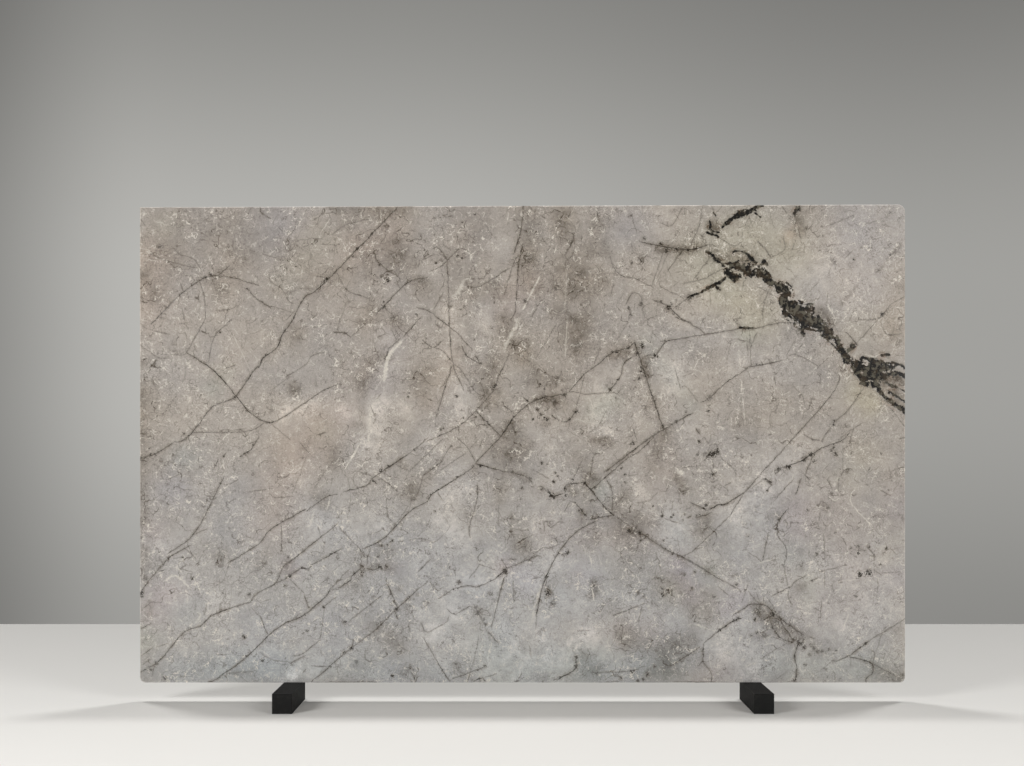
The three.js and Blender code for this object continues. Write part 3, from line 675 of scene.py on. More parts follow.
paleStreaks = [  # the same
    (6, 0.8, [-1450, 1648, -1420, 1638]), (6, 0.8, [-1415, 1648, -1393, 1658]),
    (7, 0.35, [-1395, 1750, -1335, 1730]), (4, 0.5, [-540, 1790, -532, 1750]),
    (6, 0.5, [-765, 1705, -725, 1760]), (8, 1, [65, 1540, 2, 1415]), (6, 0.9, [132, 1657, 120, 1625]),
    (6, 0.7, [-210, 1648, -193, 1610, -198, 1598]),
    (14, 0.9, [-208, 1530, -220, 1526, -248, 1475, -263, 1465]), (6, 0.8, [-52, 1780, -57, 1752]),
    (6, 0.6, [197, 1803, 184, 1775]), (8, 0.35, [-222, 1600, -225, 1540]), (6, 0.3, [-148, 1510, -170, 1445]),
    (6, 0.45, [168, 1560, 162, 1430]), (9, 1, [1155, 1435, 1190, 1370]), (5, 0.7, [1167, 1640, 1155, 1620]),
    (5, 0.4, [-1100, 1325, -1030, 1180]), (5, 0.35, [-1205, 1185, -1225, 1155]),
    (16, 1, [-457, 1298, -508, 1235, -525, 1140]), (8, 0.6, [-535, 1145, -558, 1110]),
    (28, 0.4, [-545, 1080, -580, 1000, -580, 945]), (11, 0.75, [-570, 960, -585, 925, -575, 905]),
    (17, 0.75, [-10, 1380, -73, 1260]), (8, 0.4, [0, 1360, -25, 1310]), (6, 0.8, [169, 1370, 162, 1240]),
    (6, 0.8, [-305, 1192, -280, 1186]), (4, 0.5, [205, 1000, 240, 985]), (6, 0.6, [190, 1375, 189, 1355]),
    (9, 0.4, [816, 1290, 827, 1180]), (6, 0.85, [828, 1145, 843, 975]), (12, 0.8, [1220, 1210, 1214, 1188]),
    (6, 0.7, [1285, 1247, 1330, 1234, 1355, 1244, 1380, 1240]), (5, 0.5, [-995, 850, -988, 800]),
    (6, 0.5, [-1120, 605, -1098, 637, -1080, 640]), (4, 0.35, [-950, 695, -915, 640]),
    (7, 0.95, [-610, 915, -673, 810]), (7, 0.9, [-730, 695, -743, 655]), (7, 0.75, [-748, 760, -765, 745]),
    (7, 0.8, [-790, 643, -805, 600, -820, 590]), (6, 0.7, [-855, 540, -870, 515]),
    (6, 0.75, [-783, 603, -763, 583]), (5, 0.85, [-135, 573, -110, 543]), (5, 0.6, [-190, 735, -218, 700]),
    (4, 0.4, [35, 665, 80, 690]), (6, 0.7, [233, 515, 240, 488]), (7, 0.7, [254, 480, 260, 455]),
    (4, 0.4, [-85, 485, -55, 510]), (23, 1, [589, 802, 607, 789]), (4, 0.6, [833, 625, 833, 600]),
    (5, 0.6, [363, 500, 359, 483]), (4, 0.4, [285, 485, 300, 450]), (8, 1, [1164, 704, 1183, 690, 1198, 698]),
    (6, 0.85, [1259, 728, 1246, 715, 1248, 677, 1326, 593]), (6, 0.7, [1225, 852, 1297, 890]),
    (5, 0.6, [1103, 650, 1120, 654]), (6, 0.75, [888, 452, 945, 466]), (5, 0.5, [858, 513, 913, 518]),
    (6, 0.75, [-1245, 396, -1217, 335]), (10, 0.8, [-1356, 386, -1314, 405, -1259, 358]),
    (9, 0.6, [-1314, 445, -1289, 415]), (10, 0.55, [-1230, 266, -1221, 251, -1242, 221]),
    (5, 0.6, [-1301, 242, -1285, 226]), (4, 0.6, [-1091, 186, -1093, 167]), (5, 0.7, [-979, 116, -960, 99]),
    (5, 0.9, [-563, 372, -582, 335]), (5, 0.6, [-530, 390, -546, 381]), (5, 0.7, [-613, 251, -609, 217]),
    (5, 0.8, [-399, 266, -396, 288]), (14, 0.6, [-870, 403, -849, 407]), (4, 0.75, [-100, 306, -106, 270]),
    (11, 0.75, [71, 372, 46, 285]), (18, 0.6, [43, 270, 35, 220]), (5, 0.9, [260, 470, 262, 440]),
    (6, 0.85, [265, 350, 272, 310]), (6, 0.8, [194, 414, 192, 398]), (7, 0.5, [-116, 158, -130, 99]),
    (6, 0.6, [-19, 14, -10, 33]), (6, 0.6, [-142, 430, -158, 415]), (6, 0.75, [656, 221, 713, 200]),
    (6, 0.7, [720, 260, 745, 253]), (5, 0.6, [707, 108, 714, 57]), (17, 0.55, [477, 293, 480, 275]),
    (6, 0.6, [827, 437, 858, 437]), (5, 0.6, [468, 136, 473, 120]), (5, 0.5, [730, 310, 773, 320]),
    (5, 0.6, [1170, 322, 1191, 339]), (5, 0.65, [1212, 192, 1238, 268]), (6, 0.5, [1210, 385, 1260, 387]),
    (6, 0.8, [986, 342, 1004, 343]), (8, 0.7, [934, 146, 950, 148]), (7, 0.6, [930, 167, 946, 178]),
]
blackSeam = [  # x, z, half width
    [(690, 1636, 3), (710, 1626, 6), (730, 1610, 8), (740, 1596, 8), (755, 1586, 8), (770, 1578, 10)],
    [(755, 1588, 4), (775, 1588, 7), (795, 1578, 13), (820, 1576, 21), (845, 1568, 25), (870, 1566, 27),
     (895, 1558, 23), (915, 1546, 16), (930, 1530, 13), (945, 1516, 14), (963, 1506, 18), (980, 1498, 20),
     (998, 1490, 21), (1003, 1474, 19), (998, 1456, 17), (1006, 1436, 22), (1026, 1416, 36),
     (1045, 1399, 45), (1067, 1383, 46), (1087, 1372, 41), (1107, 1362, 31), (1125, 1350, 20),
     (1145, 1336, 18), (1163, 1320, 20), (1180, 1303, 18), (1194, 1284, 15), (1203, 1265, 13),
     (1213, 1248, 14), (1227, 1231, 15), (1244, 1215, 17), (1264, 1206, 20), (1280, 1193, 24),
     (1298, 1188, 27), (1320, 1189, 28), (1345, 1190, 25), (1370, 1190, 17), (1395, 1194, 13),
     (1420, 1200, 7)],
    [(773, 1575, 11), (778, 1558, 13), (788, 1542, 14), (805, 1534, 12), (825, 1540, 12), (845, 1550, 12)],
    [(775, 1538, 8), (755, 1523, 5), (730, 1508, 6), (710, 1497, 5), (690, 1485, 5), (670, 1475, 5),
     (650, 1470, 3), (630, 1463, 7)],
    [(730, 1504, 3), (745, 1490, 5)],
    [(790, 1622, 3), (800, 1632, 3), (820, 1635, 4), (840, 1630, 4), (858, 1618, 5), (875, 1600, 6),
     (890, 1586, 7)],
    [(900, 1588, 5), (920, 1593, 6), (932, 1580, 5)],
    [(993, 1515, 6), (1006, 1512, 6), (1019, 1495, 4)],
    [(975, 1465, 5), (983, 1440, 8), (990, 1416, 12), (1004, 1394, 13), (1024, 1380, 13)],
    [(1030, 1440, 4), (1050, 1438, 3), (1070, 1432, 3), (1090, 1436, 3), (1106, 1432, 3)],
    [(1055, 1356, 12), (1075, 1346, 11), (1094, 1338, 10), (1115, 1330, 6)],
    [(1053, 1355, 5), (1060, 1336, 6), (1068, 1318, 6)],
    [(1126, 1320, 4), (1148, 1306, 5), (1170, 1286, 5), (1190, 1266, 5), (1204, 1248, 5)],
    [(1228, 1248, 5), (1243, 1266, 8), (1260, 1283, 7)],
    [(1275, 1218, 7), (1290, 1231, 6), (1310, 1224, 8), (1340, 1214, 10), (1380, 1210, 7), (1410, 1212, 6),
     (1430, 1203, 5), (1460, 1188, 6)],
    [(1352, 1239, 3), (1375, 1243, 4), (1397, 1241, 3)],
    [(1246, 1196, 6), (1264, 1174, 9), (1280, 1161, 12), (1300, 1156, 15), (1325, 1154, 18),
     (1350, 1158, 18), (1375, 1166, 16), (1400, 1174, 12), (1430, 1172, 8), (1460, 1160, 8)],
    [(1278, 1140, 8), (1295, 1132, 10), (1310, 1132, 8)],
    [(1315, 1146, 9), (1330, 1128, 10), (1348, 1122, 9)],
    [(1334, 1144, 9), (1346, 1120, 10), (1358, 1098, 9), (1372, 1081, 9), (1390, 1067, 9), (1410, 1053, 10),
     (1435, 1036, 10), (1460, 1018, 11)],
    [(1382, 1099, 6), (1398, 1098, 5)],
    [(1370, 1140, 5), (1395, 1128, 5), (1420, 1118, 4), (1445, 1105, 3), (1460, 1095, 3)],
    [(1380, 1110, 3), (1410, 1090, 4), (1440, 1070, 4), (1460, 1055, 3)],
    [(754, 1716, 5), (764, 1734, 6), (782, 1748, 6), (800, 1762, 8), (823, 1771, 12), (848, 1780, 14),
     (870, 1794, 10), (895, 1804, 7), (920, 1806, 4)],
    [(865, 1786, 5), (885, 1776, 4), (905, 1760, 3)],
    [(695, 1706, 6), (713, 1700, 5), (730, 1696, 4), (746, 1686, 3)],
    [(707, 1756, 3), (713, 1738, 4), (710, 1720, 4), (725, 1710, 4), (750, 1706, 3)],
    [(720, 1785, 4), (735, 1768, 3)],
    [(1024, 1773, 4), (1035, 1787, 5), (1048, 1804, 8)],
    [(815, 1345, 4), (830, 1346, 6), (855, 1345, 5), (880, 1346, 2)],
]
darkSpots = [  # x, z, radius, strength
    (-1183, 1547, 6, 0.9), (-1200, 1534, 6, 0.9), (-1373, 1653, 9, 0.6), (-1043, 1492, 4, 0.8),
    (-1448, 1730, 6, 0.5), (-1370, 1382, 6, 0.5), (-743, 1530, 8, 1), (-752, 1519, 5, 0.9),
    (-625, 1646, 5, 0.9), (-570, 1698, 5, 0.8), (-642, 1616, 6, 0.7), (-785, 1482, 4, 0.7),
    (-525, 1424, 8, 0.85), (-526, 1442, 4, 0.8), (-534, 1430, 4, 0.7), (-508, 1523, 6, 1),
    (-328, 1590, 4, 0.85), (-540, 1583, 5, 0.7), (-573, 1550, 4, 0.7), (-400, 1392, 6, 0.7),
    (-490, 1383, 11, 0.5), (-375, 1520, 13, 0.35), (-230, 1610, 7, 0.75), (-246, 1617, 6, 0.7),
    (126, 1494, 11, 0.6), (9, 1446, 8, 0.7), (-180, 1774, 4, 0.7), (-229, 1745, 4, 0.7),
    (-17, 1560, 4, 0.8), (-273, 1425, 6, 0.6), (20, 1615, 18, 0.3), (-110, 1515, 18, 0.3),
    (176, 1770, 8, 0.45), (460, 1683, 7, 0.7), (547, 1638, 8, 1), (525, 1659, 7, 1), (585, 1642, 8, 1),
    (625, 1639, 7, 1), (413, 1592, 5, 0.7), (527, 1444, 5, 0.8), (554, 1421, 12, 1), (564, 1436, 6, 0.8),
    (632, 1462, 9, 1), (746, 1490, 6, 0.9), (448, 1435, 8, 0.6), (402, 1420, 6, 0.7), (412, 1394, 6, 0.7),
    (572, 1398, 5, 0.7), (1257, 1603, 4, 0.9), (1363, 1395, 6, 0.95), (1370, 1399, 4, 0.9),
    (1185, 1593, 9, 0.5), (1175, 1600, 8, 0.4), (1395, 1622, 5, 0.7), (1392, 1780, 5, 0.6),
    (1032, 1776, 7, 1), (1047, 1790, 8, 1), (1050, 1803, 5, 0.9), (-898, 1336, 5, 0.9),
    (-973, 1242, 4, 0.9), (-986, 1220, 4, 0.9), (-1090, 1080, 7, 0.9), (-1138, 1068, 4, 0.8),
    (-1036, 1153, 4, 0.8), (-1146, 1327, 4, 0.8), (-1283, 943, 5, 0.8), (-950, 1030, 10, 0.3),
    (-948, 987, 4, 0.8), (-1092, 1202, 4, 0.7), (-560, 1015, 4, 0.8), (-428, 1098, 4, 0.7),
    (-434, 1082, 4, 0.7), (-309, 961, 5, 0.9), (-301, 964, 4, 0.9), (-103, 1127, 6, 1),
    (-109, 1117, 4, 0.8), (-133, 990, 5, 0.9), (-32, 1008, 5, 0.8), (-27, 948, 4, 0.8), (17, 1068, 4, 0.9),
    (158, 1090, 8, 0.8), (150, 1108, 5, 0.6), (203, 1026, 7, 0.9), (178, 997, 5, 0.8), (115, 1012, 4, 0.7),
    (133, 1157, 7, 0.5), (67, 1130, 5, 1), (85, 1112, 4, 0.7), (55, 1034, 4, 0.9), (70, 1017, 5, 1),
    (83, 1005, 5, 1), (94, 998, 6, 1), (40, 998, 4, 0.9), (-179, 1007, 4, 0.8), (-224, 1003, 4, 0.7),
    (-250, 1087, 6, 0.8), (-159, 1209, 5, 0.8), (-218, 1245, 5, 0.6), (340, 1251, 6, 0.9),
    (357, 1250, 5, 1), (402, 1267, 5, 0.9), (435, 1250, 9, 0.9), (530, 970, 6, 0.9), (500, 1067, 5, 0.8),
    (360, 1149, 6, 1), (333, 1110, 6, 0.9), (387, 1213, 4, 0.8), (452, 1282, 6, 1), (455, 1274, 6, 1),
    (503, 1241, 6, 1), (512, 1236, 5, 0.9), (447, 1178, 4, 0.9), (442, 1153, 5, 0.8), (448, 1195, 4, 0.8),
    (620, 1025, 4, 0.8), (582, 988, 5, 0.8), (705, 1028, 6, 0.9), (669, 913, 5, 0.9), (418, 912, 5, 0.9),
    (710, 1080, 11, 0.5), (1180, 990, 5, 0.9), (1178, 978, 5, 1), (1053, 1338, 6, 1), (1060, 1328, 5, 1),
    (1066, 1317, 6, 1), (888, 1206, 4, 0.7), (1264, 1282, 5, 0.9), (-1410, 862, 6, 0.9),
    (-1393, 864, 5, 0.9), (-1415, 886, 5, 0.7), (-1445, 855, 5, 0.6), (-1040, 872, 4, 0.8),
    (-1068, 856, 5, 0.8), (-1020, 900, 4, 0.8), (-1165, 823, 4, 0.8), (-1133, 856, 4, 0.8),
    (-1145, 756, 4, 0.8), (-913, 500, 4, 0.7), (-1445, 550, 6, 0.5), (-888, 474, 5, 0.6),
    (-1287, 474, 4, 0.8), (-410, 881, 4, 0.8), (-508, 820, 5, 1), (-535, 803, 6, 1), (-566, 765, 5, 0.9),
    (-480, 598, 6, 0.9), (-345, 713, 4, 0.8), (-875, 464, 5, 0.8), (-828, 503, 4, 0.7),
    (-727, 487, 5, 0.9), (-501, 533, 4, 0.9), (-494, 537, 5, 1), (-512, 522, 4, 0.8), (-534, 520, 5, 0.7),
    (-548, 477, 4, 0.7), (-415, 695, 8, 0.5), (-690, 870, 4, 0.6), (-323, 823, 4, 0.7),
    (-333, 650, 4, 0.7), (-247, 778, 5, 0.8), (-160, 823, 6, 0.95), (-38, 798, 6, 0.6), (28, 773, 5, 0.6),
    (-268, 896, 4, 0.7), (-3, 737, 5, 0.7), (110, 710, 9, 1), (120, 702, 6, 0.9), (105, 720, 6, 0.8),
    (161, 735, 6, 1), (163, 708, 4, 0.9), (120, 761, 5, 1), (124, 795, 4, 0.9), (133, 783, 4, 0.9),
    (73, 831, 5, 0.9), (95, 828, 4, 0.7), (38, 743, 4, 0.7), (190, 770, 5, 0.8), (236, 756, 7, 1),
    (262, 730, 6, 0.9), (275, 740, 6, 0.7), (136, 492, 5, 0.8), (213, 652, 5, 0.8), (238, 635, 5, 0.8),
    (224, 653, 5, 0.6), (265, 627, 5, 0.8), (276, 624, 4, 0.7), (172, 493, 7, 0.9), (153, 485, 5, 0.6),
    (75, 732, 5, 0.7), (403, 575, 9, 0.9), (415, 565, 5, 0.8), (443, 566, 7, 1), (430, 588, 4, 0.7),
    (448, 538, 4, 0.8), (534, 539, 4, 0.8), (540, 506, 5, 0.8), (570, 488, 6, 0.8), (614, 639, 4, 0.8),
    (608, 616, 4, 0.7), (563, 627, 4, 0.8), (572, 637, 4, 0.8), (530, 631, 5, 0.8), (494, 669, 4, 0.9),
    (374, 814, 5, 1), (388, 789, 4, 0.9), (388, 758, 4, 0.8), (412, 904, 5, 0.8), (420, 910, 5, 0.9),
    (422, 902, 4, 0.8), (712, 865, 9, 1), (725, 868, 11, 1), (737, 873, 9, 1), (739, 883, 6, 1),
    (702, 860, 5, 0.8), (670, 910, 4, 0.9), (663, 865, 5, 0.7), (720, 789, 5, 0.9), (694, 673, 7, 0.8),
    (285, 629, 7, 0.9), (673, 637, 5, 0.7), (660, 632, 4, 0.7), (920, 770, 5, 0.8), (937, 761, 6, 0.9),
    (927, 729, 5, 0.9), (1008, 818, 8, 1), (970, 809, 7, 0.9), (1069, 842, 6, 1), (1094, 863, 10, 1),
    (1105, 838, 6, 0.8), (1179, 903, 5, 0.9), (1084, 774, 4, 0.9), (1170, 878, 5, 0.7),
    (1185, 868, 6, 0.8), (1192, 862, 4, 0.7), (1178, 890, 4, 0.7), (1358, 867, 5, 0.7), (973, 618, 6, 0.8),
    (964, 584, 5, 0.8), (1115, 488, 6, 0.7), (1244, 509, 5, 0.6), (1273, 489, 5, 0.8), (1272, 515, 5, 0.7),
    (1312, 512, 5, 0.8), (1333, 482, 5, 0.6), (1379, 509, 4, 0.7), (1185, 570, 5, 0.7),
    (1158, 662, 6, 0.5), (1080, 654, 5, 0.6), (854, 557, 6, 0.6), (1020, 838, 4, 0.7), (-1444, 337, 7, 1),
    (-1443, 326, 5, 0.8), (-883, 403, 7, 0.9), (-985, 84, 6, 0.9), (-1055, 171, 6, 1),
    (-1058, 177, 4, 0.9), (-1251, 395, 5, 0.9), (-1036, 333, 6, 0.7), (-1356, 17, 7, 0.7),
    (-1407, 49, 5, 0.6), (-1428, 392, 8, 0.5), (-1386, 74, 6, 0.7), (-1044, 99, 5, 0.8),
    (-609, 439, 7, 0.9), (-609, 417, 6, 0.9), (-609, 405, 5, 0.7), (-540, 440, 7, 0.9),
    (-517, 441, 6, 0.7), (-836, 435, 5, 0.9), (-900, 367, 5, 0.7), (-812, 286, 4, 0.8),
    (-753, 287, 5, 0.9), (-674, 228, 7, 0.8), (-677, 114, 6, 1), (-649, 130, 8, 1), (-550, 205, 4, 0.7),
    (-477, 277, 6, 0.9), (-429, 323, 6, 0.8), (-400, 333, 5, 0.9), (-498, 335, 5, 0.8),
    (-485, 308, 5, 0.9), (-304, 47, 5, 0.7), (-493, 25, 6, 1), (-630, 78, 6, 0.6), (-565, 323, 5, 0.6),
    (-816, 196, 4, 0.6), (-500, 273, 4, 0.7), (-824, 259, 5, 0.8), (-729, 61, 5, 0.7), (-262, 353, 5, 0.9),
    (-245, 358, 4, 0.8), (-166, 365, 4, 0.8), (-120, 387, 4, 0.8), (-66, 423, 10, 0.9), (-70, 418, 7, 0.8),
    (-173, 262, 9, 0.6), (-140, 223, 6, 0.6), (-178, 285, 7, 0.5), (-145, 240, 7, 0.5),
    (-181, 400, 4, 0.7), (-240, 379, 7, 0.7), (-122, 335, 9, 0.5), (-278, 438, 6, 0.5), (204, 98, 6, 0.9),
    (203, 63, 6, 0.8), (143, 19, 6, 0.9), (97, 339, 11, 0.9), (116, 301, 8, 0.7), (91, 400, 6, 0.8),
    (-46, 38, 4, 0.7), (-143, 63, 6, 0.7), (-253, 70, 5, 0.6), (-260, 260, 4, 0.7), (-78, 355, 4, 0.7),
    (815, 242, 8, 0.9), (800, 236, 6, 0.8), (845, 352, 5, 0.7), (812, 372, 5, 0.7), (528, 339, 5, 0.9),
    (534, 330, 5, 0.9), (551, 350, 6, 0.8), (530, 358, 5, 0.6), (641, 356, 6, 0.7), (652, 419, 5, 0.8),
    (416, 44, 7, 1), (422, 46, 5, 0.9), (500, 61, 5, 0.8), (473, 30, 7, 0.9), (458, 13, 5, 0.8),
    (437, 6, 6, 0.7), (372, 17, 6, 0.7), (283, 36, 6, 0.6), (724, 323, 7, 0.5), (749, 200, 5, 0.9),
    (612, 410, 5, 0.6), (949, 261, 10, 1), (1052, 151, 10, 0.9), (1031, 9, 6, 0.9), (1067, 133, 6, 0.9),
    (1071, 68, 5, 0.7), (896, 268, 8, 0.7), (880, 240, 6, 0.9), (886, 276, 6, 0.8), (913, 272, 6, 0.5),
    (888, 190, 6, 0.7), (915, 176, 9, 0.5), (968, 344, 4, 0.9), (1010, 358, 4, 0.7), (1096, 387, 4, 0.7),
    (1280, 411, 9, 1), (1274, 412, 5, 1), (1286, 411, 5, 0.9), (1278, 403, 5, 1), (1314, 415, 10, 1),
    (1307, 415, 6, 1), (1320, 416, 6, 1), (1356, 447, 4, 0.7), (1296, 84, 5, 0.9), (1160, 125, 5, 0.8),
    (1135, 120, 6, 0.6), (1105, 130, 6, 0.5), (1118, 118, 7, 0.5), (1088, 105, 6, 0.5),
    (1188, 122, 5, 0.6), (1263, 327, 6, 0.6), (1300, 150, 5, 0.9), (865, 180, 6, 0.5),
]
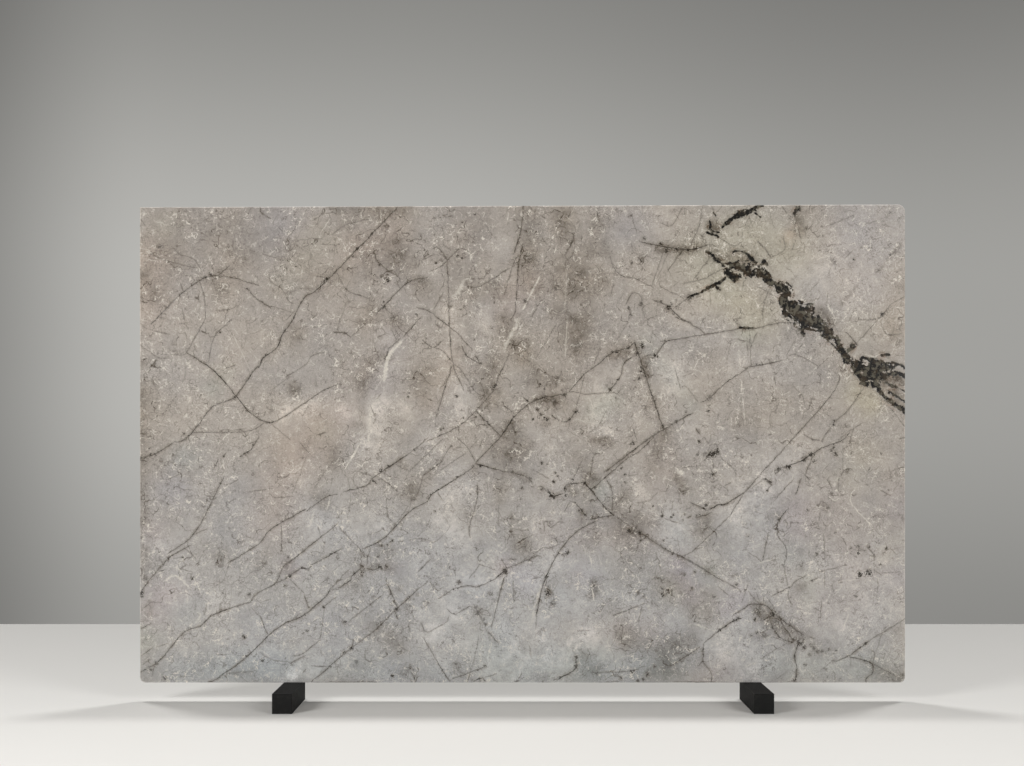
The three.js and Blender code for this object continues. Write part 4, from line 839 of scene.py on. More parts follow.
softShades = [  # width, strength, x and z of each point: soft marks, darker, or paler below zero; most are the stone's own clouds, the wide pale band along the foot is painted light
    (11, 0.45, [1205, 1432, 1270, 1505]), (12, 0.4, [1348, 1555, 1430, 1660]),
    (45, 0.45, [-610, 1150, -600, 1040]), (25, 0.3, [-640, 980, -600, 970]),
    (30, 0.35, [-880, 1130, -860, 1110]), (22, 0.6, [55, 1072, 90, 1078]), (30, 0.3, [130, 1070, 155, 1050]),
    (20, 0.35, [330, 1232, 400, 1245]), (26, 0.4, [455, 1225, 478, 1160]), (30, 0.4, [530, 935, 532, 920]),
    (15, 0.4, [460, 1233, 490, 1233]), (20, 0.35, [270, 920, 330, 925]), (18, 0.6, [1233, 1250, 1254, 1282]),
    (45, 0.4, [-785, 715, -760, 700, -755, 675]), (26, 0.35, [-460, 830, -445, 820]),
    (35, 0.35, [-540, 495, -510, 495]), (30, 0.3, [-420, 740, -410, 710]), (26, 0.4, [-55, 865, -30, 860]),
    (34, 0.35, [-10, 788, 15, 775]), (28, 0.5, [180, 738, 195, 720]), (35, 0.4, [255, 778, 280, 765]),
    (32, 0.4, [225, 635, 220, 620]), (70, 0.35, [10, 510, 30, 495]), (14, 0.35, [-40, 640, -40, 560]),
    (32, 0.35, [-210, 695, -220, 660, -218, 615]), (35, 0.3, [-85, 730, -85, 690]),
    (30, 0.4, [-180, 810, -185, 785]), (14, 0.4, [410, 578, 450, 565, 550, 500, 600, 478]),
    (30, 0.55, [585, 775, 615, 730]), (35, 0.4, [510, 890, 515, 875]), (32, 0.4, [320, 905, 335, 905]),
    (30, 0.35, [600, 470, 620, 455]), (30, 0.35, [400, 580, 440, 570]), (16, 0.35, [310, 800, 410, 870]),
    (26, 0.45, [1140, 670, 1150, 660]), (30, 0.35, [1055, 780, 1065, 760]), (30, 0.35, [970, 630, 940, 630]),
    (22, 0.35, [1050, 495, 1060, 490]), (25, 0.3, [1175, 880, 1185, 865]), (25, 0.3, [1270, 510, 1290, 500]),
    (50, 0.35, [-1420, 90, -1400, 60]), (30, 0.35, [-1090, 35, -1040, 40]),
    (30, 0.35, [-1210, 80, -1180, 80]), (24, 0.35, [-1430, 395, -1425, 380]),
    (30, 0.3, [-1415, 300, -1415, 260]), (40, 0.4, [-885, 440, -875, 420]),
    (40, 0.35, [-605, 430, -550, 440, -500, 435]), (34, 0.3, [-470, 40, -430, 50]),
    (26, 0.4, [-383, 220, -376, 200]), (30, 0.3, [-440, 290, -430, 280]), (22, 0.35, [-470, 355, -460, 360]),
    (16, 0.3, [-570, 6, -680, 5]), (60, 0.6, [228, 85, 235, 50]), (45, 0.45, [228, 125, 240, 110]),
    (30, 0.4, [-255, 70, -250, 50]), (30, 0.35, [-235, 335, -220, 325]), (40, 0.35, [-160, 275, -135, 260]),
    (26, 0.35, [5, 180, 20, 168]), (40, 0.35, [55, 30, 80, 20]), (30, 0.4, [95, 355, 100, 330]),
    (25, 0.3, [245, 330, 255, 315]), (40, 0.3, [-50, 250, -40, 220]), (20, 0.35, [-10, 148, 5, 146]),
    (25, 0.4, [265, 380, 275, 350]), (45, 0.5, [547, 82, 530, 108]), (50, 0.4, [370, 160, 385, 145]),
    (70, 0.35, [630, 180, 580, 150]), (50, 0.35, [513, 386, 550, 385]), (40, 0.35, [700, 430, 720, 415]),
    (60, 0.3, [652, 268, 700, 260]), (24, 0.4, [292, 70, 280, 50]), (50, 0.4, [480, 30, 580, 40]),
    (40, 0.3, [280, 370, 275, 330]), (70, 0.5, [960, 235, 1040, 170]), (60, 0.45, [900, 290, 910, 265]),
    (30, 0.4, [913, 175, 884, 179]), (60, 0.35, [1410, 30, 1360, 40]), (50, 0.35, [1120, 120, 1170, 110]),
    (30, 0.35, [1065, 370, 1050, 365]), (30, 0.3, [1050, 450, 1055, 430]), (16, 0.4, [1270, 426, 1315, 428]),
    (60, 0.35, [980, 40, 960, 20]), (20, 0.5, [1435, 15, 1442, 30]), (45, 0.6, [805, 1606, 840, 1610]),
    (40, 0.8, [860, 1595]), (45, 0.7, [1110, 1402, 1135, 1400, 1165, 1366]),
    (35, 1, [1365, 1150, 1395, 1158, 1430, 1150]), (30, 0.5, [1290, 1138, 1315, 1130]),
    (30, 0.9, [715, 1735, 735, 1725]), (35, 0.5, [1380, 1125, 1430, 1080]), (40, 0.5, [730, 1630, 755, 1608]),
    (30, 0.7, [520, 1646, 610, 1640, 660, 1650]), (40, 0.45, [1040, 1760, 1050, 1710]),
    (30, 0.4, [1415, 1058, 1450, 1036]), (130, 0.3, [-1360, 1580]), (240, 0.22, [-1300, 1750, -1050, 1720]),
    (140, 0.15, [-1100, 1600]), (80, 0.25, [-1450, 1540]), (110, 0.5, [-480, 1630]),
    (60, 0.25, [-600, 1650, -570, 1550]), (90, 0.65, [200, 1270, 210, 1340, 200, 1420]),
    (80, 0.42, [180, 1500, 280, 1520]), (80, 0.6, [150, 1770, 170, 1700]), (80, 0.4, [270, 1650]),
    (60, 0.8, [0, 1260]), (50, 0.4, [-80, 1380, -50, 1280]), (80, 0.6, [-150, 1160, -120, 1080]),
    (70, 0.35, [50, 1160, 120, 1130]), (50, 0.5, [120, 1060]), (100, 0.42, [-80, 880, -40, 800]),
    (80, 0.5, [-40, 960]), (90, 0.45, [350, 650, 380, 580, 440, 500]), (60, 0.5, [-850, 1320]),
    (70, 0.4, [-480, 1360]), (80, 0.4, [-380, 1160, -400, 1080]), (60, 0.35, [-180, 1490, -80, 1480]),
    (60, 0.4, [280, 920]), (70, 0.4, [550, 950]), (100, 0.3, [850, 980]), (50, 0.5, [-860, 1100]),
    (90, 0.4, [-1000, 470]), (60, 0.35, [-1140, 480]), (60, 0.4, [-630, 370]), (70, 0.35, [-420, 720]),
    (80, 0.4, [-550, 200, -480, 140]), (70, 0.5, [0, 530]), (60, 0.4, [690, 620, 700, 550]),
    (80, 0.45, [380, 200, 460, 150, 600, 120]), (50, 0.4, [680, 80]), (60, 0.4, [890, 290, 960, 220]),
    (40, 0.35, [-1440, 1200, -1440, 600]), (50, 0.4, [420, 1270, 350, 1250]), (60, 0.4, [460, 1180]),
    (80, -0.65, [-900, 1020, -820, 1050]), (60, -0.4, [-680, 1030]), (80, -0.55, [-550, 1050, -570, 900]),
    (60, -0.4, [-520, 1180]), (80, -0.5, [-240, 1100, -220, 1000]), (60, -0.4, [-350, 930]),
    (50, -0.4, [-280, 1250]), (50, -0.5, [-280, 1400, -250, 1330]), (50, -0.5, [-150, 1380, -150, 1260]),
    (60, -0.4, [-340, 1570]), (60, -0.35, [-80, 1660]), (60, -0.3, [50, 1570]),
    (120, -0.5, [-250, 720, -280, 620, -220, 550]), (60, -0.35, [50, 950]), (100, -0.4, [100, 750]),
    (60, -0.6, [120, 450]), (100, -0.6, [-360, 210]), (90, -0.45, [-260, 350, -120, 400]),
    (140, -0.55, [180, 120, 250, 220]), (80, -0.5, [280, 1120, 270, 1030, 320, 970]), (60, -0.4, [350, 1170]),
    (90, -0.5, [550, 1170, 580, 1120]), (120, -0.4, [750, 1320]), (80, -0.5, [450, 720, 570, 600]),
    (140, -0.5, [800, 620, 900, 750]), (70, -0.55, [1280, 420]), (70, -0.3, [1180, 470]),
    (140, -0.4, [780, 150, 850, 50]), (220, -0.3, [1200, 1550]), (80, -0.35, [550, 1780]),
    (600, -0.22, [600, 300, 1300, 300]), (70, -0.7, [-870, 20]), (80, -0.35, [-1150, 300]),
    (70, 0.5, [440, 620, 510, 620]), (50, 0.4, [280, 550]), (60, 0.35, [700, 350]), (50, 0.35, [650, 150]),
    (80, 0.35, [0, 1600, 200, 1570]), (70, 0.35, [-380, 1500]), (90, 0.35, [-1150, 1500]),
    (60, 0.35, [-1450, 450]), (50, 0.35, [100, 1070]), (60, -0.35, [-1020, 500]), (60, -0.35, [-370, 450]),
    (50, -0.4, [200, 1420]), (60, -0.35, [-430, 1040]), (60, -0.4, [-870, 20]), (70, -0.3, [-250, 250]),
    # the last mark on the next line and the two marks on the line after it make a wide pale band along the
    # slab's foot: painted light from the floor
    (80, -0.3, [1050, 770]), (160, -0.35, [-1350, 80, -1000, 100, -600, 60]),
    (140, -0.4, [-250, 200, 200, 120, -100, 50]), (120, -0.35, [1180, 120, 1250, 300]),
    (100, 0.15, [-880, 1650, -780, 1530]), (100, 0.3, [-650, 1740]), (120, 0.12, [-1420, 1200, -1380, 820]),
    (120, 0.3, [400, 400, 700, 280]), (80, 0.3, [720, 620]), (50, 0.5, [80, 730]), (50, 0.45, [400, 710]),
    (50, 0.4, [-170, 530]), (60, 0.35, [-720, 880, -720, 840]), (100, -0.3, [600, 1200, 950, 1220]),
    (70, -0.3, [100, 920]), (90, -0.3, [-800, 600]), (70, 0.4, [20, 1770, 40, 1500]), (50, 0.4, [-30, 1370]),
    (60, 0.35, [280, 1730]), (40, 0.35, [120, 1400]), (60, 0.35, [-580, 1400, -600, 1370]),
    (60, 0.3, [-480, 1580]), (60, 0.35, [0, 1220]), (50, 0.35, [80, 980, 0, 880]), (60, 0.3, [200, 850]),
    (50, 0.3, [-420, 770]), (60, -0.35, [200, 1430]), (50, -0.4, [160, 1240]), (60, -0.3, [-510, 1300]),
    (80, -0.3, [-850, 790]), (60, -0.4, [-20, 780]), (100, -0.3, [30, 620, 80, 480]),
    (50, -0.35, [-860, 420]), (60, 0.35, [-170, 210]), (60, 0.3, [1220, 120, 1100, 170]),
    (60, -0.4, [980, 240]), (80, 0.35, [-620, 70]), (90, -0.3, [1000, 1500, 1100, 1550]),
    (80, -0.3, [620, 950]), (80, 0.45, [160, 200, 320, 270]), (70, 0.35, [120, 120, 200, 120]),
    (60, 0.35, [640, 1230, 740, 1250]), (50, 0.45, [770, 570, 770, 530]), (40, 0.3, [660, 570]),
    (50, 0.4, [-160, 1320, -100, 1220]), (50, 0.4, [-580, 1200, -520, 1230]),
    (60, 0.3, [-220, 970, -180, 1000]), (50, 0.15, [1030, 1780, 1040, 1720]), (50, 0.3, [-950, 1030]),
    (50, 0.35, [1220, 1190]), (60, 0.25, [500, 820]), (50, 0.3, [-350, 780]),
    (60, 0.3, [-550, 1800, -450, 1800]), (60, 0.25, [-920, 1480]), (60, 0.25, [-690, 1550]),
    (60, 0.2, [-1280, 800]), (60, 0.3, [950, 250, 1000, 200]), (60, 0.25, [1400, 1350]),
    (60, 0.3, [600, 400]), (60, 0.25, [-1200, 130]), (70, 0.2, [-250, 220, -100, 180]),
    (40, 0.3, [-1430, 500]), (70, -0.35, [-1350, 520]), (60, -0.35, [-1440, 1170]), (50, -0.3, [-1470, 660]),
    (50, -0.3, [-430, 770]), (70, -0.3, [-750, 580, -550, 600]), (50, -0.3, [-150, 1160]),
    (60, -0.3, [-360, 100, -300, 50]), (50, -0.3, [530, 120]), (40, -0.4, [80, 1600]),
    (50, -0.3, [440, 1000]), (60, -0.3, [1050, 900]), (60, -0.25, [-300, 900]), (70, -0.2, [720, 1020]),
    (50, -0.3, [-380, 500]), (60, -0.3, [-620, 1060, -470, 1060]), (40, -0.3, [-100, 910]),
    (80, -0.3, [620, 1370, 700, 1480]), (60, -0.25, [920, 840, 1070, 870]), (50, -0.3, [180, 1700]),
    (70, -0.25, [900, 50, 1050, 50]), (70, -0.25, [1000, 1420]), (60, 0.25, [-1460, 1500]),
    (60, 0.15, [-400, 1600, -220, 1550]), (70, 0.1, [-800, 1480, -600, 1580]), (40, 0.3, [120, 380]),
    (70, 0.3, [1180, 340, 1250, 300]), (50, 0.3, [1050, 350]), (50, 0.3, [1420, 200]), (50, 0.3, [500, 1070]),
    (50, 0.25, [200, 1030]), (60, 0.25, [-700, 1800, -450, 1780]), (60, 0.2, [250, 600, 250, 800]),
    (50, 0.25, [1440, 1500]), (80, 0.35, [-1380, 1470]), (60, 0.3, [120, 460]), (60, 0.3, [0, 610]),
    (60, 0.3, [-420, 220]), (70, -0.3, [-430, 1070]),
]
tints = [  # colour, strength, width, x and z of each point: clouds of another tone in the stone
    ("#9b9c9b", 0.85, 900, [-1100, 150, 0, 80, 1100, 120]),
    ("#a1a1a0", 0.75, 500, [-900, 560, -300, 420, 300, 350]),
    ("#98979b", 0.50, 160, [-920, 1730]),
    ("#968f88", 0.60, 450, [-1150, 1600, -600, 1500]),
    ("#9c9c90", 0.40, 90, [-1350, 1730]),
    ("#a5a396", 0.40, 100, [-900, 1520, -770, 1670]),
    ("#837b73", 0.60, 170, [-200, 1800, -200, 1650]),
    ("#8a837c", 0.50, 220, [150, 1500, 230, 1250]),
    ("#b1aba3", 0.50, 90, [-90, 1630, 70, 1570]),
    ("#9a9aa0", 0.45, 160, [400, 1750]),
    ("#aaa68f", 0.60, 200, [700, 1600, 860, 1690, 980, 1640]),
    ("#b3ae96", 0.55, 130, [780, 1480, 900, 1380]),
    ("#a9ad98", 0.40, 60, [850, 1320]),
    ("#bda491", 0.40, 40, [1010, 1695]),
    ("#a3a0a2", 0.40, 300, [1250, 1650, 1350, 1500]),
    ("#b3ad9d", 0.50, 130, [1280, 1340]),
    ("#ada78c", 0.60, 90, [1320, 1060, 1270, 1100]),
    ("#a4a89b", 0.50, 70, [-1120, 1175, -1170, 1120]),
    ("#b5a9a3", 0.40, 70, [-670, 1020]),
    ("#877f79", 0.50, 110, [-600, 1140]),
    ("#97998f", 0.40, 80, [-750, 950]),
    ("#a8ab9b", 0.40, 70, [280, 1030, 340, 1070]),
    ("#93958c", 0.40, 60, [465, 1290, 650, 1040]),
    ("#ab9d98", 0.40, 90, [-1400, 570]),
    ("#a2a8a3", 0.45, 90, [-1280, 850]),
    ("#9c9aa0", 0.40, 130, [-1320, 740]),
    ("#b9b4aa", 0.50, 100, [-1310, 380]),
    ("#ab9b97", 0.50, 100, [-1390, 260, -1370, 330]),
    ("#9a9a84", 0.45, 80, [-1420, 170]),
    ("#a3a9a2", 0.45, 110, [-1290, 290]),
    ("#7f807b", 0.45, 120, [-1420, 40, -1200, 60]),
    ("#8f9490", 0.40, 120, [-1100, 50, -930, 50]),
    ("#b7b3ab", 0.60, 50, [-810, 30, -770, 50]),
    ("#8f8878", 0.50, 110, [-700, 30, -600, 60]),
    ("#7c6a68", 0.50, 60, [-885, 440, -870, 420]),
    ("#82777a", 0.35, 50, [-480, 430]),
    ("#c0b9ba", 0.50, 80, [20, 380, 10, 400]),
    ("#b9b09f", 0.50, 70, [-120, 455]),
    ("#a78f89", 0.45, 60, [-70, 440]),
    ("#98a09a", 0.45, 230, [-80, 70, 80, 80]),
    ("#6f726c", 0.55, 110, [225, 80, 240, 50]),
    ("#9b8c87", 0.35, 90, [220, 410]),
    ("#90857f", 0.40, 120, [540, 830, 520, 760]),
    ("#87928a", 0.40, 60, [292, 728]),
    ("#b6b4ad", 0.45, 90, [560, 590, 590, 560]),
    ("#8f9397", 0.40, 200, [800, 560, 870, 620]),
    ("#b7ae99", 0.40, 120, [1280, 860, 1240, 780]),
    ("#8d8589", 0.40, 110, [1420, 650, 1420, 700]),
    ("#a39393", 0.35, 110, [1040, 660, 1040, 580]),
    ("#909592", 0.40, 100, [1020, 500]),
    ("#b8ae9d", 0.40, 60, [1370, 480]),
    ("#8f7f85", 0.45, 70, [590, 450, 640, 330]),
    ("#9a9079", 0.40, 70, [560, 340, 610, 365]),
    ("#6f766d", 0.50, 130, [480, 60, 560, 40]),
    ("#9aa09b", 0.45, 170, [300, 60]),
    ("#b09f93", 0.40, 90, [760, 40, 660, 20]),
    ("#a4969a", 0.35, 80, [820, 320, 770, 280]),
    ("#8a8c79", 0.35, 60, [710, 420]),
    ("#b0aea0", 0.50, 50, [1085, 390, 1085, 300]),
    ("#787d76", 0.50, 120, [1400, 30, 1340, 60]),
    ("#8c928b", 0.40, 100, [1270, 50, 960, 60]),
    ("#ab9e9c", 0.35, 90, [1420, 390]),
    ("#ad967f", 0.60, 170, [-950, 600, -900, 800, -760, 960]),
    ("#aa9888", 0.50, 150, [-1430, 1400, -1400, 1600]),
    ("#ab9988", 0.50, 120, [-600, 1650, -500, 1700]),
    ("#a89a84", 0.60, 130, [1430, 1550, 1420, 1350]),
    ("#ab9787", 0.40, 120, [-1120, 1160]),
    ("#ab9a86", 0.40, 90, [-350, 1060, -250, 1250]),
    ("#ab9789", 0.40, 110, [-60, 1440, 20, 1500]),
    ("#aa9888", 0.50, 120, [20, 160, 480, 200]),
    ("#ad958a", 0.40, 110, [-1300, 330]),
    ("#a9988a", 0.40, 160, [1080, 280, 1250, 330, 1200, 650]),
    ("#a9988a", 0.40, 110, [100, 560, 480, 560]),
    ("#949a9b", 0.40, 120, [-1300, 20, -850, 60, -300, 30]),
    ("#9a9aa0", 0.40, 130, [-520, 1130, -490, 1300]),
    ("#97999d", 0.40, 80, [620, 410, 700, 400]),
]


# Each vertex carries, for each layer of veins, how far it is from the nearest vein's middle (signed, mm),
# that vein's half width (mm) and its strength. The offset is linear between vertices, so lines stay sharp.
farAway = 999  # mm, where no vein is near
outsideSpots = 9  # radii, where no spot is near


def pairsOf(row):
    return list(zip(row[::2], row[1::2]))


def smoothPath(listed):
    # a curve through the listed points, as even short steps; any third value goes along with them
    p = np.array(listed, float)
    padded = np.concatenate([2 * p[:1] - p[1:2], p, 2 * p[-1:] - p[-2:-1]])
    pieces = []
    for a, b, c, d in zip(padded, padded[1:], padded[2:], padded[3:]):
        count = max(1, round(float(np.linalg.norm((c - b)[:2])) / slabStone["step"]))
        t = (np.arange(count) / count)[:, None]
        pieces.append(0.5 * (2 * b + (c - a) * t + (2 * a - 5 * b + 4 * c - d) * t**2
                             + (3 * b - a - 3 * c + d) * t**3))
    return np.concatenate(pieces + [p[-1:]])


def clearance(one, other):
    apart = np.linalg.norm(one["path"][:, None, :2] - other["path"][None, :, :2], axis=2)
    return (apart - one["path"][:, None, 2] - other["path"][None, :, 2]).min()


def placeInLayers(items, layerCount, gap):
    # gives each item the first layer where it stays clear of what is there; the weakest may find none
    layers = [[] for _ in range(layerCount)]
    missed = 0
    for item in items:
        reach = item["path"][:, 2:].max()
        item["low"] = item["path"][:, :2].min(axis=0) - reach
        item["high"] = item["path"][:, :2].max(axis=0) + reach
        low, high = item["low"] - gap, item["high"] + gap
        for layer in layers:
            near = (other for other in layer if (other["low"] < high).all() and (other["high"] > low).all())
            if all(clearance(item, other) > gap for other in near):
                layer.append(item)
                break
        else:
            missed += 1
    return layers, missed


def veinItems(veins, widthShare):
    items = []
    for width, strength, places in veins:
        path = smoothPath([(x, z, widthShare * width) for x, z in pairsOf(places)])
        toEnd = np.minimum(np.arange(len(path)), np.arange(len(path))[::-1])
        path[:, 2] *= np.clip(slabStone["endWidth"] + slabStone["endWiden"] * toEnd, 0, 1)
        items.append({"path": path, "strength": strength})
    # the strong and long ones first
    return sorted(items, key=lambda item: -item["strength"] * (20 + len(item["path"])))


def paintLines(items, layerCount, where, cell):
    # where: the vertices' x and z in mm; cell: their spacing
    sure, gone = slabStone["sureCells"] * cell, slabStone["goneCells"] * cell
    layers, missed = placeInLayers(items, layerCount, 2 * gone + 1)
    field = np.zeros((layerCount, len(where), 3), np.float32)
    field[:, :, 0] = farAway
    field[:, :, 1] = 1
    for values, layer in zip(field, layers):
        for item in layer:
            path = item["path"]
            inside = ((where > item["low"] - gone) & (where < item["high"] + gone)).all(axis=1)
            index = np.nonzero(inside)[0]
            start, along = path[:-1, :2], np.diff(path[:, :2], axis=0)
            length = np.linalg.norm(along, axis=1)
            away = where[index][:, None, :] - start[None]
            t = (away * along).sum(axis=2) / length**2
            held = np.clip(t, 0, 1)
            distance = np.linalg.norm(away - held[:, :, None] * along, axis=2)
            pick = distance.argmin(axis=1)
            row = np.arange(len(index))
            distance, t, held = distance[row, pick], t[row, pick], held[row, pick]
            cross = along[pick, 0] * away[row, pick, 1] - along[pick, 1] * away[row, pick, 0]
            half = path[pick, 2] * (1 - held) + path[pick + 1, 2] * held
            past = np.where(pick == 0, np.clip(-t, 0, None), 0) * length[pick]
            past += np.where(pick == len(length) - 1, np.clip(t - 1, 0, None), 0) * length[pick]
            edge = np.clip((half + gone - distance) / (gone - sure), 0, 1)
            strength = item["strength"] * edge * np.clip(1 - past / slabStone["endFade"], 0, 1)
            near = (distance < half + gone) & (distance < np.abs(values[index, 0]))
            signed = distance * np.where(cross < 0, -1, 1)
            values[index[near]] = np.stack([signed, half, strength], axis=1)[near]
    return field, missed


def paintSpots(spots, layerCount, where, cell):
    # like the veins, but each vertex carries its offset from the spot's middle, in radii, and the strength
    sure, gone = slabStone["sureCells"] * cell, slabStone["goneCells"] * cell
    items = [{"path": np.array([[x, z, radius]], float), "strength": strength}
             for x, z, radius, strength in spots]
    items.sort(key=lambda item: -item["strength"] * item["path"][0, 2])
    layers, missed = placeInLayers(items, layerCount, 2 * gone + 1)
    field = np.zeros((layerCount, len(where), 3), np.float32)
    field[:, :, :2] = outsideSpots
    for values, layer in zip(field, layers):
        for item in layer:
            radius = item["path"][0, 2]
            away = where - item["path"][0, :2]
            distance = np.linalg.norm(away, axis=1)
            near = distance < radius + gone
            edge = np.clip((radius + gone - distance[near]) / (gone - sure), 0, 1)
            values[near, :2] = away[near] / radius
            values[near, 2] = item["strength"] * edge
    return field, missed


def softAmount(patches, where):
    # wide soft-edged marks: each is a row of points with a width, in mm
    total = np.zeros(len(where))
    for width, strength, places in patches:
        listed = pairsOf(places)
        path = smoothPath(listed) if len(listed) > 1 else np.array(listed, float)
        reach = slabStone["softReach"] * width
        inside = ((where > path.min(axis=0) - reach) & (where < path.max(axis=0) + reach)).all(axis=1)
        index = np.nonzero(inside)[0]
        distance = np.linalg.norm(where[index][:, None] - path[None], axis=2).min(axis=1)
        total[index] += strength * np.exp(-((distance / (slabStone["softEdge"] * width)) ** 2))
    return total


def keepField(name, values):
    # three values at each vertex are kept as a vector, one value as a number
    kind, key = ("FLOAT_VECTOR", "vector") if values.ndim == 2 else ("FLOAT", "value")
    attribute = slabMesh.attributes.new(name, kind, "POINT")
    attribute.data.foreach_set(key, np.ascontiguousarray(values, np.float32).ravel())


def layLines(name, faceItems, rearItems):
    layerCount = slabStone[name + "Layers"]
    field = np.zeros((layerCount, len(points), 3), np.float32)
    field[:, :rearStart], missed = paintLines(faceItems, layerCount, faceWhere[:rearStart], cellMm)
    # on the back a vein comes out a little to one side
    field[:, rearStart:], rearMissed = paintLines(
        rearItems, layerCount, faceWhere[rearStart:] + (slabStone["rearShift"], 0), 2 * cellMm)
    for number, values in enumerate(field):
        keepField(f"{name}{number}", values)
    print(name, "lines:", len(faceItems), "on the face,", len(rearItems), "on the back; left out:",
          missed, "and", rearMissed)


faceWhere = np.stack([points[:, 0], points[:, 2] - slabLow[2]], axis=1) * 1000
cellMm = slabStone["cell"] * 1000
throughVeins = [
    (width, strength, places) for width, strength, places in darkVeins
    if strength >= slabStone["throughStrength"] and len(pairsOf(places)) > slabStone["throughPoints"]]
veinWidth, streakWidth = slabStone["veinWidth"], slabStone["streakWidth"]
layLines("vein", veinItems(darkVeins, veinWidth), veinItems(throughVeins, veinWidth))
layLines("streak", veinItems(paleStreaks, streakWidth), [])
seamItems = [{"path": smoothPath(path), "strength": 1.0} for path in blackSeam]
layLines("seam", seamItems, [dict(item) for item in seamItems[:2]])
spotField = np.zeros((slabStone["spotLayers"], len(points), 3), np.float32)
spotField[:, :, :2] = outsideSpots
spotField[:, :rearStart], missed = paintSpots(
    darkSpots, slabStone["spotLayers"], faceWhere[:rearStart], cellMm)
for number, values in enumerate(spotField):
    keepField(f"spot{number}", values)
print("spots:", len(darkSpots), "left out:", missed)

# the soft marks: mostly the stone's own darker and paler clouds, and a pale band of painted light along the
# foot
keepField("shade", softAmount(softShades, faceWhere))
tint = np.ones((len(points), 3))
plainTone = np.array(linearColour(slabStone["plain"])[:3])
for colour, strength, width, places in tints:
    patch = (width, slabStone["tintShare"] * strength, places)
    amount = np.clip(softAmount([patch], faceWhere), 0, 1)[:, None]
    tint *= 1 - amount + amount * np.array(linearColour(colour)[:3]) / plainTone
keepField("tint", tint)
print("veins laid")


def stoneTone(add, swirled, cloud, patches, shade):
    # warmer and cooler clouds, mottling from large to fine, and the wide soft light and dark marks, among
    # them a pale band of painted light along the foot
    coolness = add("MapRange", {"Value": cloud, "From Min": 0.38, "From Max": 0.62})
    body = add("Mix", {
        "Factor": coolness, "A": linearColour(slabStone["warm"]), "B": linearColour(slabStone["cool"])},
        data_type="RGBA")
    tinted = add("Attribute", output="Vector", attribute_name="tint")
    body = add("VectorMath", (body, tinted), operation="MULTIPLY")
    # in some places the stone is finely broken up, in others it is smooth
    grainy = add("MapRange", {
        "Value": patches, "From Min": 0.4, "From Max": 0.6, "To Min": 0.6, "To Max": 1.3})
    level, fine = 1.0, 1.0
    for size, detail, rough, depth in slabStone["tones"]:
        marks = add("TexNoise", {"Vector": swirled, "Scale": 1 / size, "Detail": detail, "Roughness": rough})
        tone = add("Math", (marks, depth, 1 - depth / 2), operation="MULTIPLY_ADD")
        if size < slabStone["fineBelow"]:
            fine = add("Math", (fine, tone), operation="MULTIPLY")
        else:
            level = add("Math", (level, tone), operation="MULTIPLY")
    fine = add("Math", (fine, 1.0), operation="SUBTRACT")
    fine = add("Math", (fine, grainy, 1.0), operation="MULTIPLY_ADD")
    level = add("Math", (level, fine), operation="MULTIPLY")
    patchy = add("TexNoise", {
        "Vector": swirled, "Scale": 1 / slabStone["patchySize"], "Detail": 4.0, "Roughness": 0.6})
    patchy = add("MapRange", {
        "Value": patchy, "From Min": 0.4, "From Max": 0.6, "To Min": -0.25, "To Max": -0.78})
    shaded = add("Math", (shade, patchy, 1.0), operation="MULTIPLY_ADD")
    level = add("Math", (level, shaded), operation="MULTIPLY")
    body = add("VectorMath", {0: body, "Scale": level}, operation="SCALE")
    # the dark marks are a little browner than the rest
    darkShade = add("Math", (shade, 0.0), operation="MAXIMUM")
    browner = add("VectorMath", (darkShade, slabStone["brownShift"], (1, 1, 1)), operation="MULTIPLY_ADD")
    return add("VectorMath", (body, browner), operation="MULTIPLY")


def veinWander(add, inMm):
    # how the veins wander sideways, swell and break up, from a slow noise, a quick one and a fine one
    slow = add("TexNoise", {
        "Vector": inMm, "Scale": 1 / slabStone["slowSize"], "Detail": 3.0, "Roughness": 0.6}, "Color")
    slow = add("SeparateColor", {"Color": slow})
    quick = add("TexNoise", {
        "Vector": inMm, "Scale": 1 / slabStone["quickSize"], "Detail": 2.0, "Roughness": 0.65}, "Color")
    quick = add("SeparateColor", {"Color": quick})
    wander = {"slow" + part: slow.outputs[part] for part in ("Red", "Green", "Blue")}
    wander.update({"quick" + part: quick.outputs[part] for part in ("Red", "Green", "Blue")})
    farSlow, farQuick = slabStone["wobble"]
    wobble = add("Math", (wander["slowRed"], farSlow, -farSlow / 2), operation="MULTIPLY_ADD")
    wobble = add("Math", (wander["quickRed"], farQuick, wobble), operation="MULTIPLY_ADD")
    wander["wobble"] = add("Math", (wobble, -farQuick / 2), operation="ADD")
    wander["swelling"] = add("MapRange", {
        "Value": wander["quickGreen"], "From Min": 0.35, "From Max": 0.65, "To Min": 1.35, "To Max": 0.5})
    crumb = add("TexNoise", {"Vector": inMm, "Scale": 1 / slabStone["crumbSize"], "Detail": 1.0})
    crumbled = add("MapRange", {
        "Value": crumb, "From Min": 0.36, "From Max": 0.6, "To Min": 0.7, "To Max": 1.15})
    broken = add("MapRange", {
        "Value": wander["slowGreen"], "From Min": 0.38, "From Max": 0.6, "To Min": 0.4, "To Max": 1.1})
    wander["broken"] = add("Math", (broken, crumbled), operation="MULTIPLY")
    wander["clouded"] = add("MapRange", {
        "Value": wander["slowBlue"], "From Min": 0.35, "From Max": 0.65, "To Max": 0.65})
    wander["crumb"] = crumb
    return wander


def lineLayer(add, name, wander):
    # a layer of lines: the way to the nearest line's middle in mm, then in its half widths, without and
    # with its swelling, and its strength
    carried = add("Attribute", output="Vector", attribute_name=name)
    parts = add("SeparateXYZ", {"Vector": carried})
    offset = add("Math", (parts.outputs["X"], wander["wobble"]), operation="ADD")
    offset = add("Math", (offset,), operation="ABSOLUTE")
    ratio = add("Math", (offset, parts.outputs["Y"]), operation="DIVIDE")
    swollen = add("Math", (ratio, wander["swelling"]), operation="MULTIPLY")
    return parts.outputs["X"], ratio, swollen, parts.outputs["Z"]


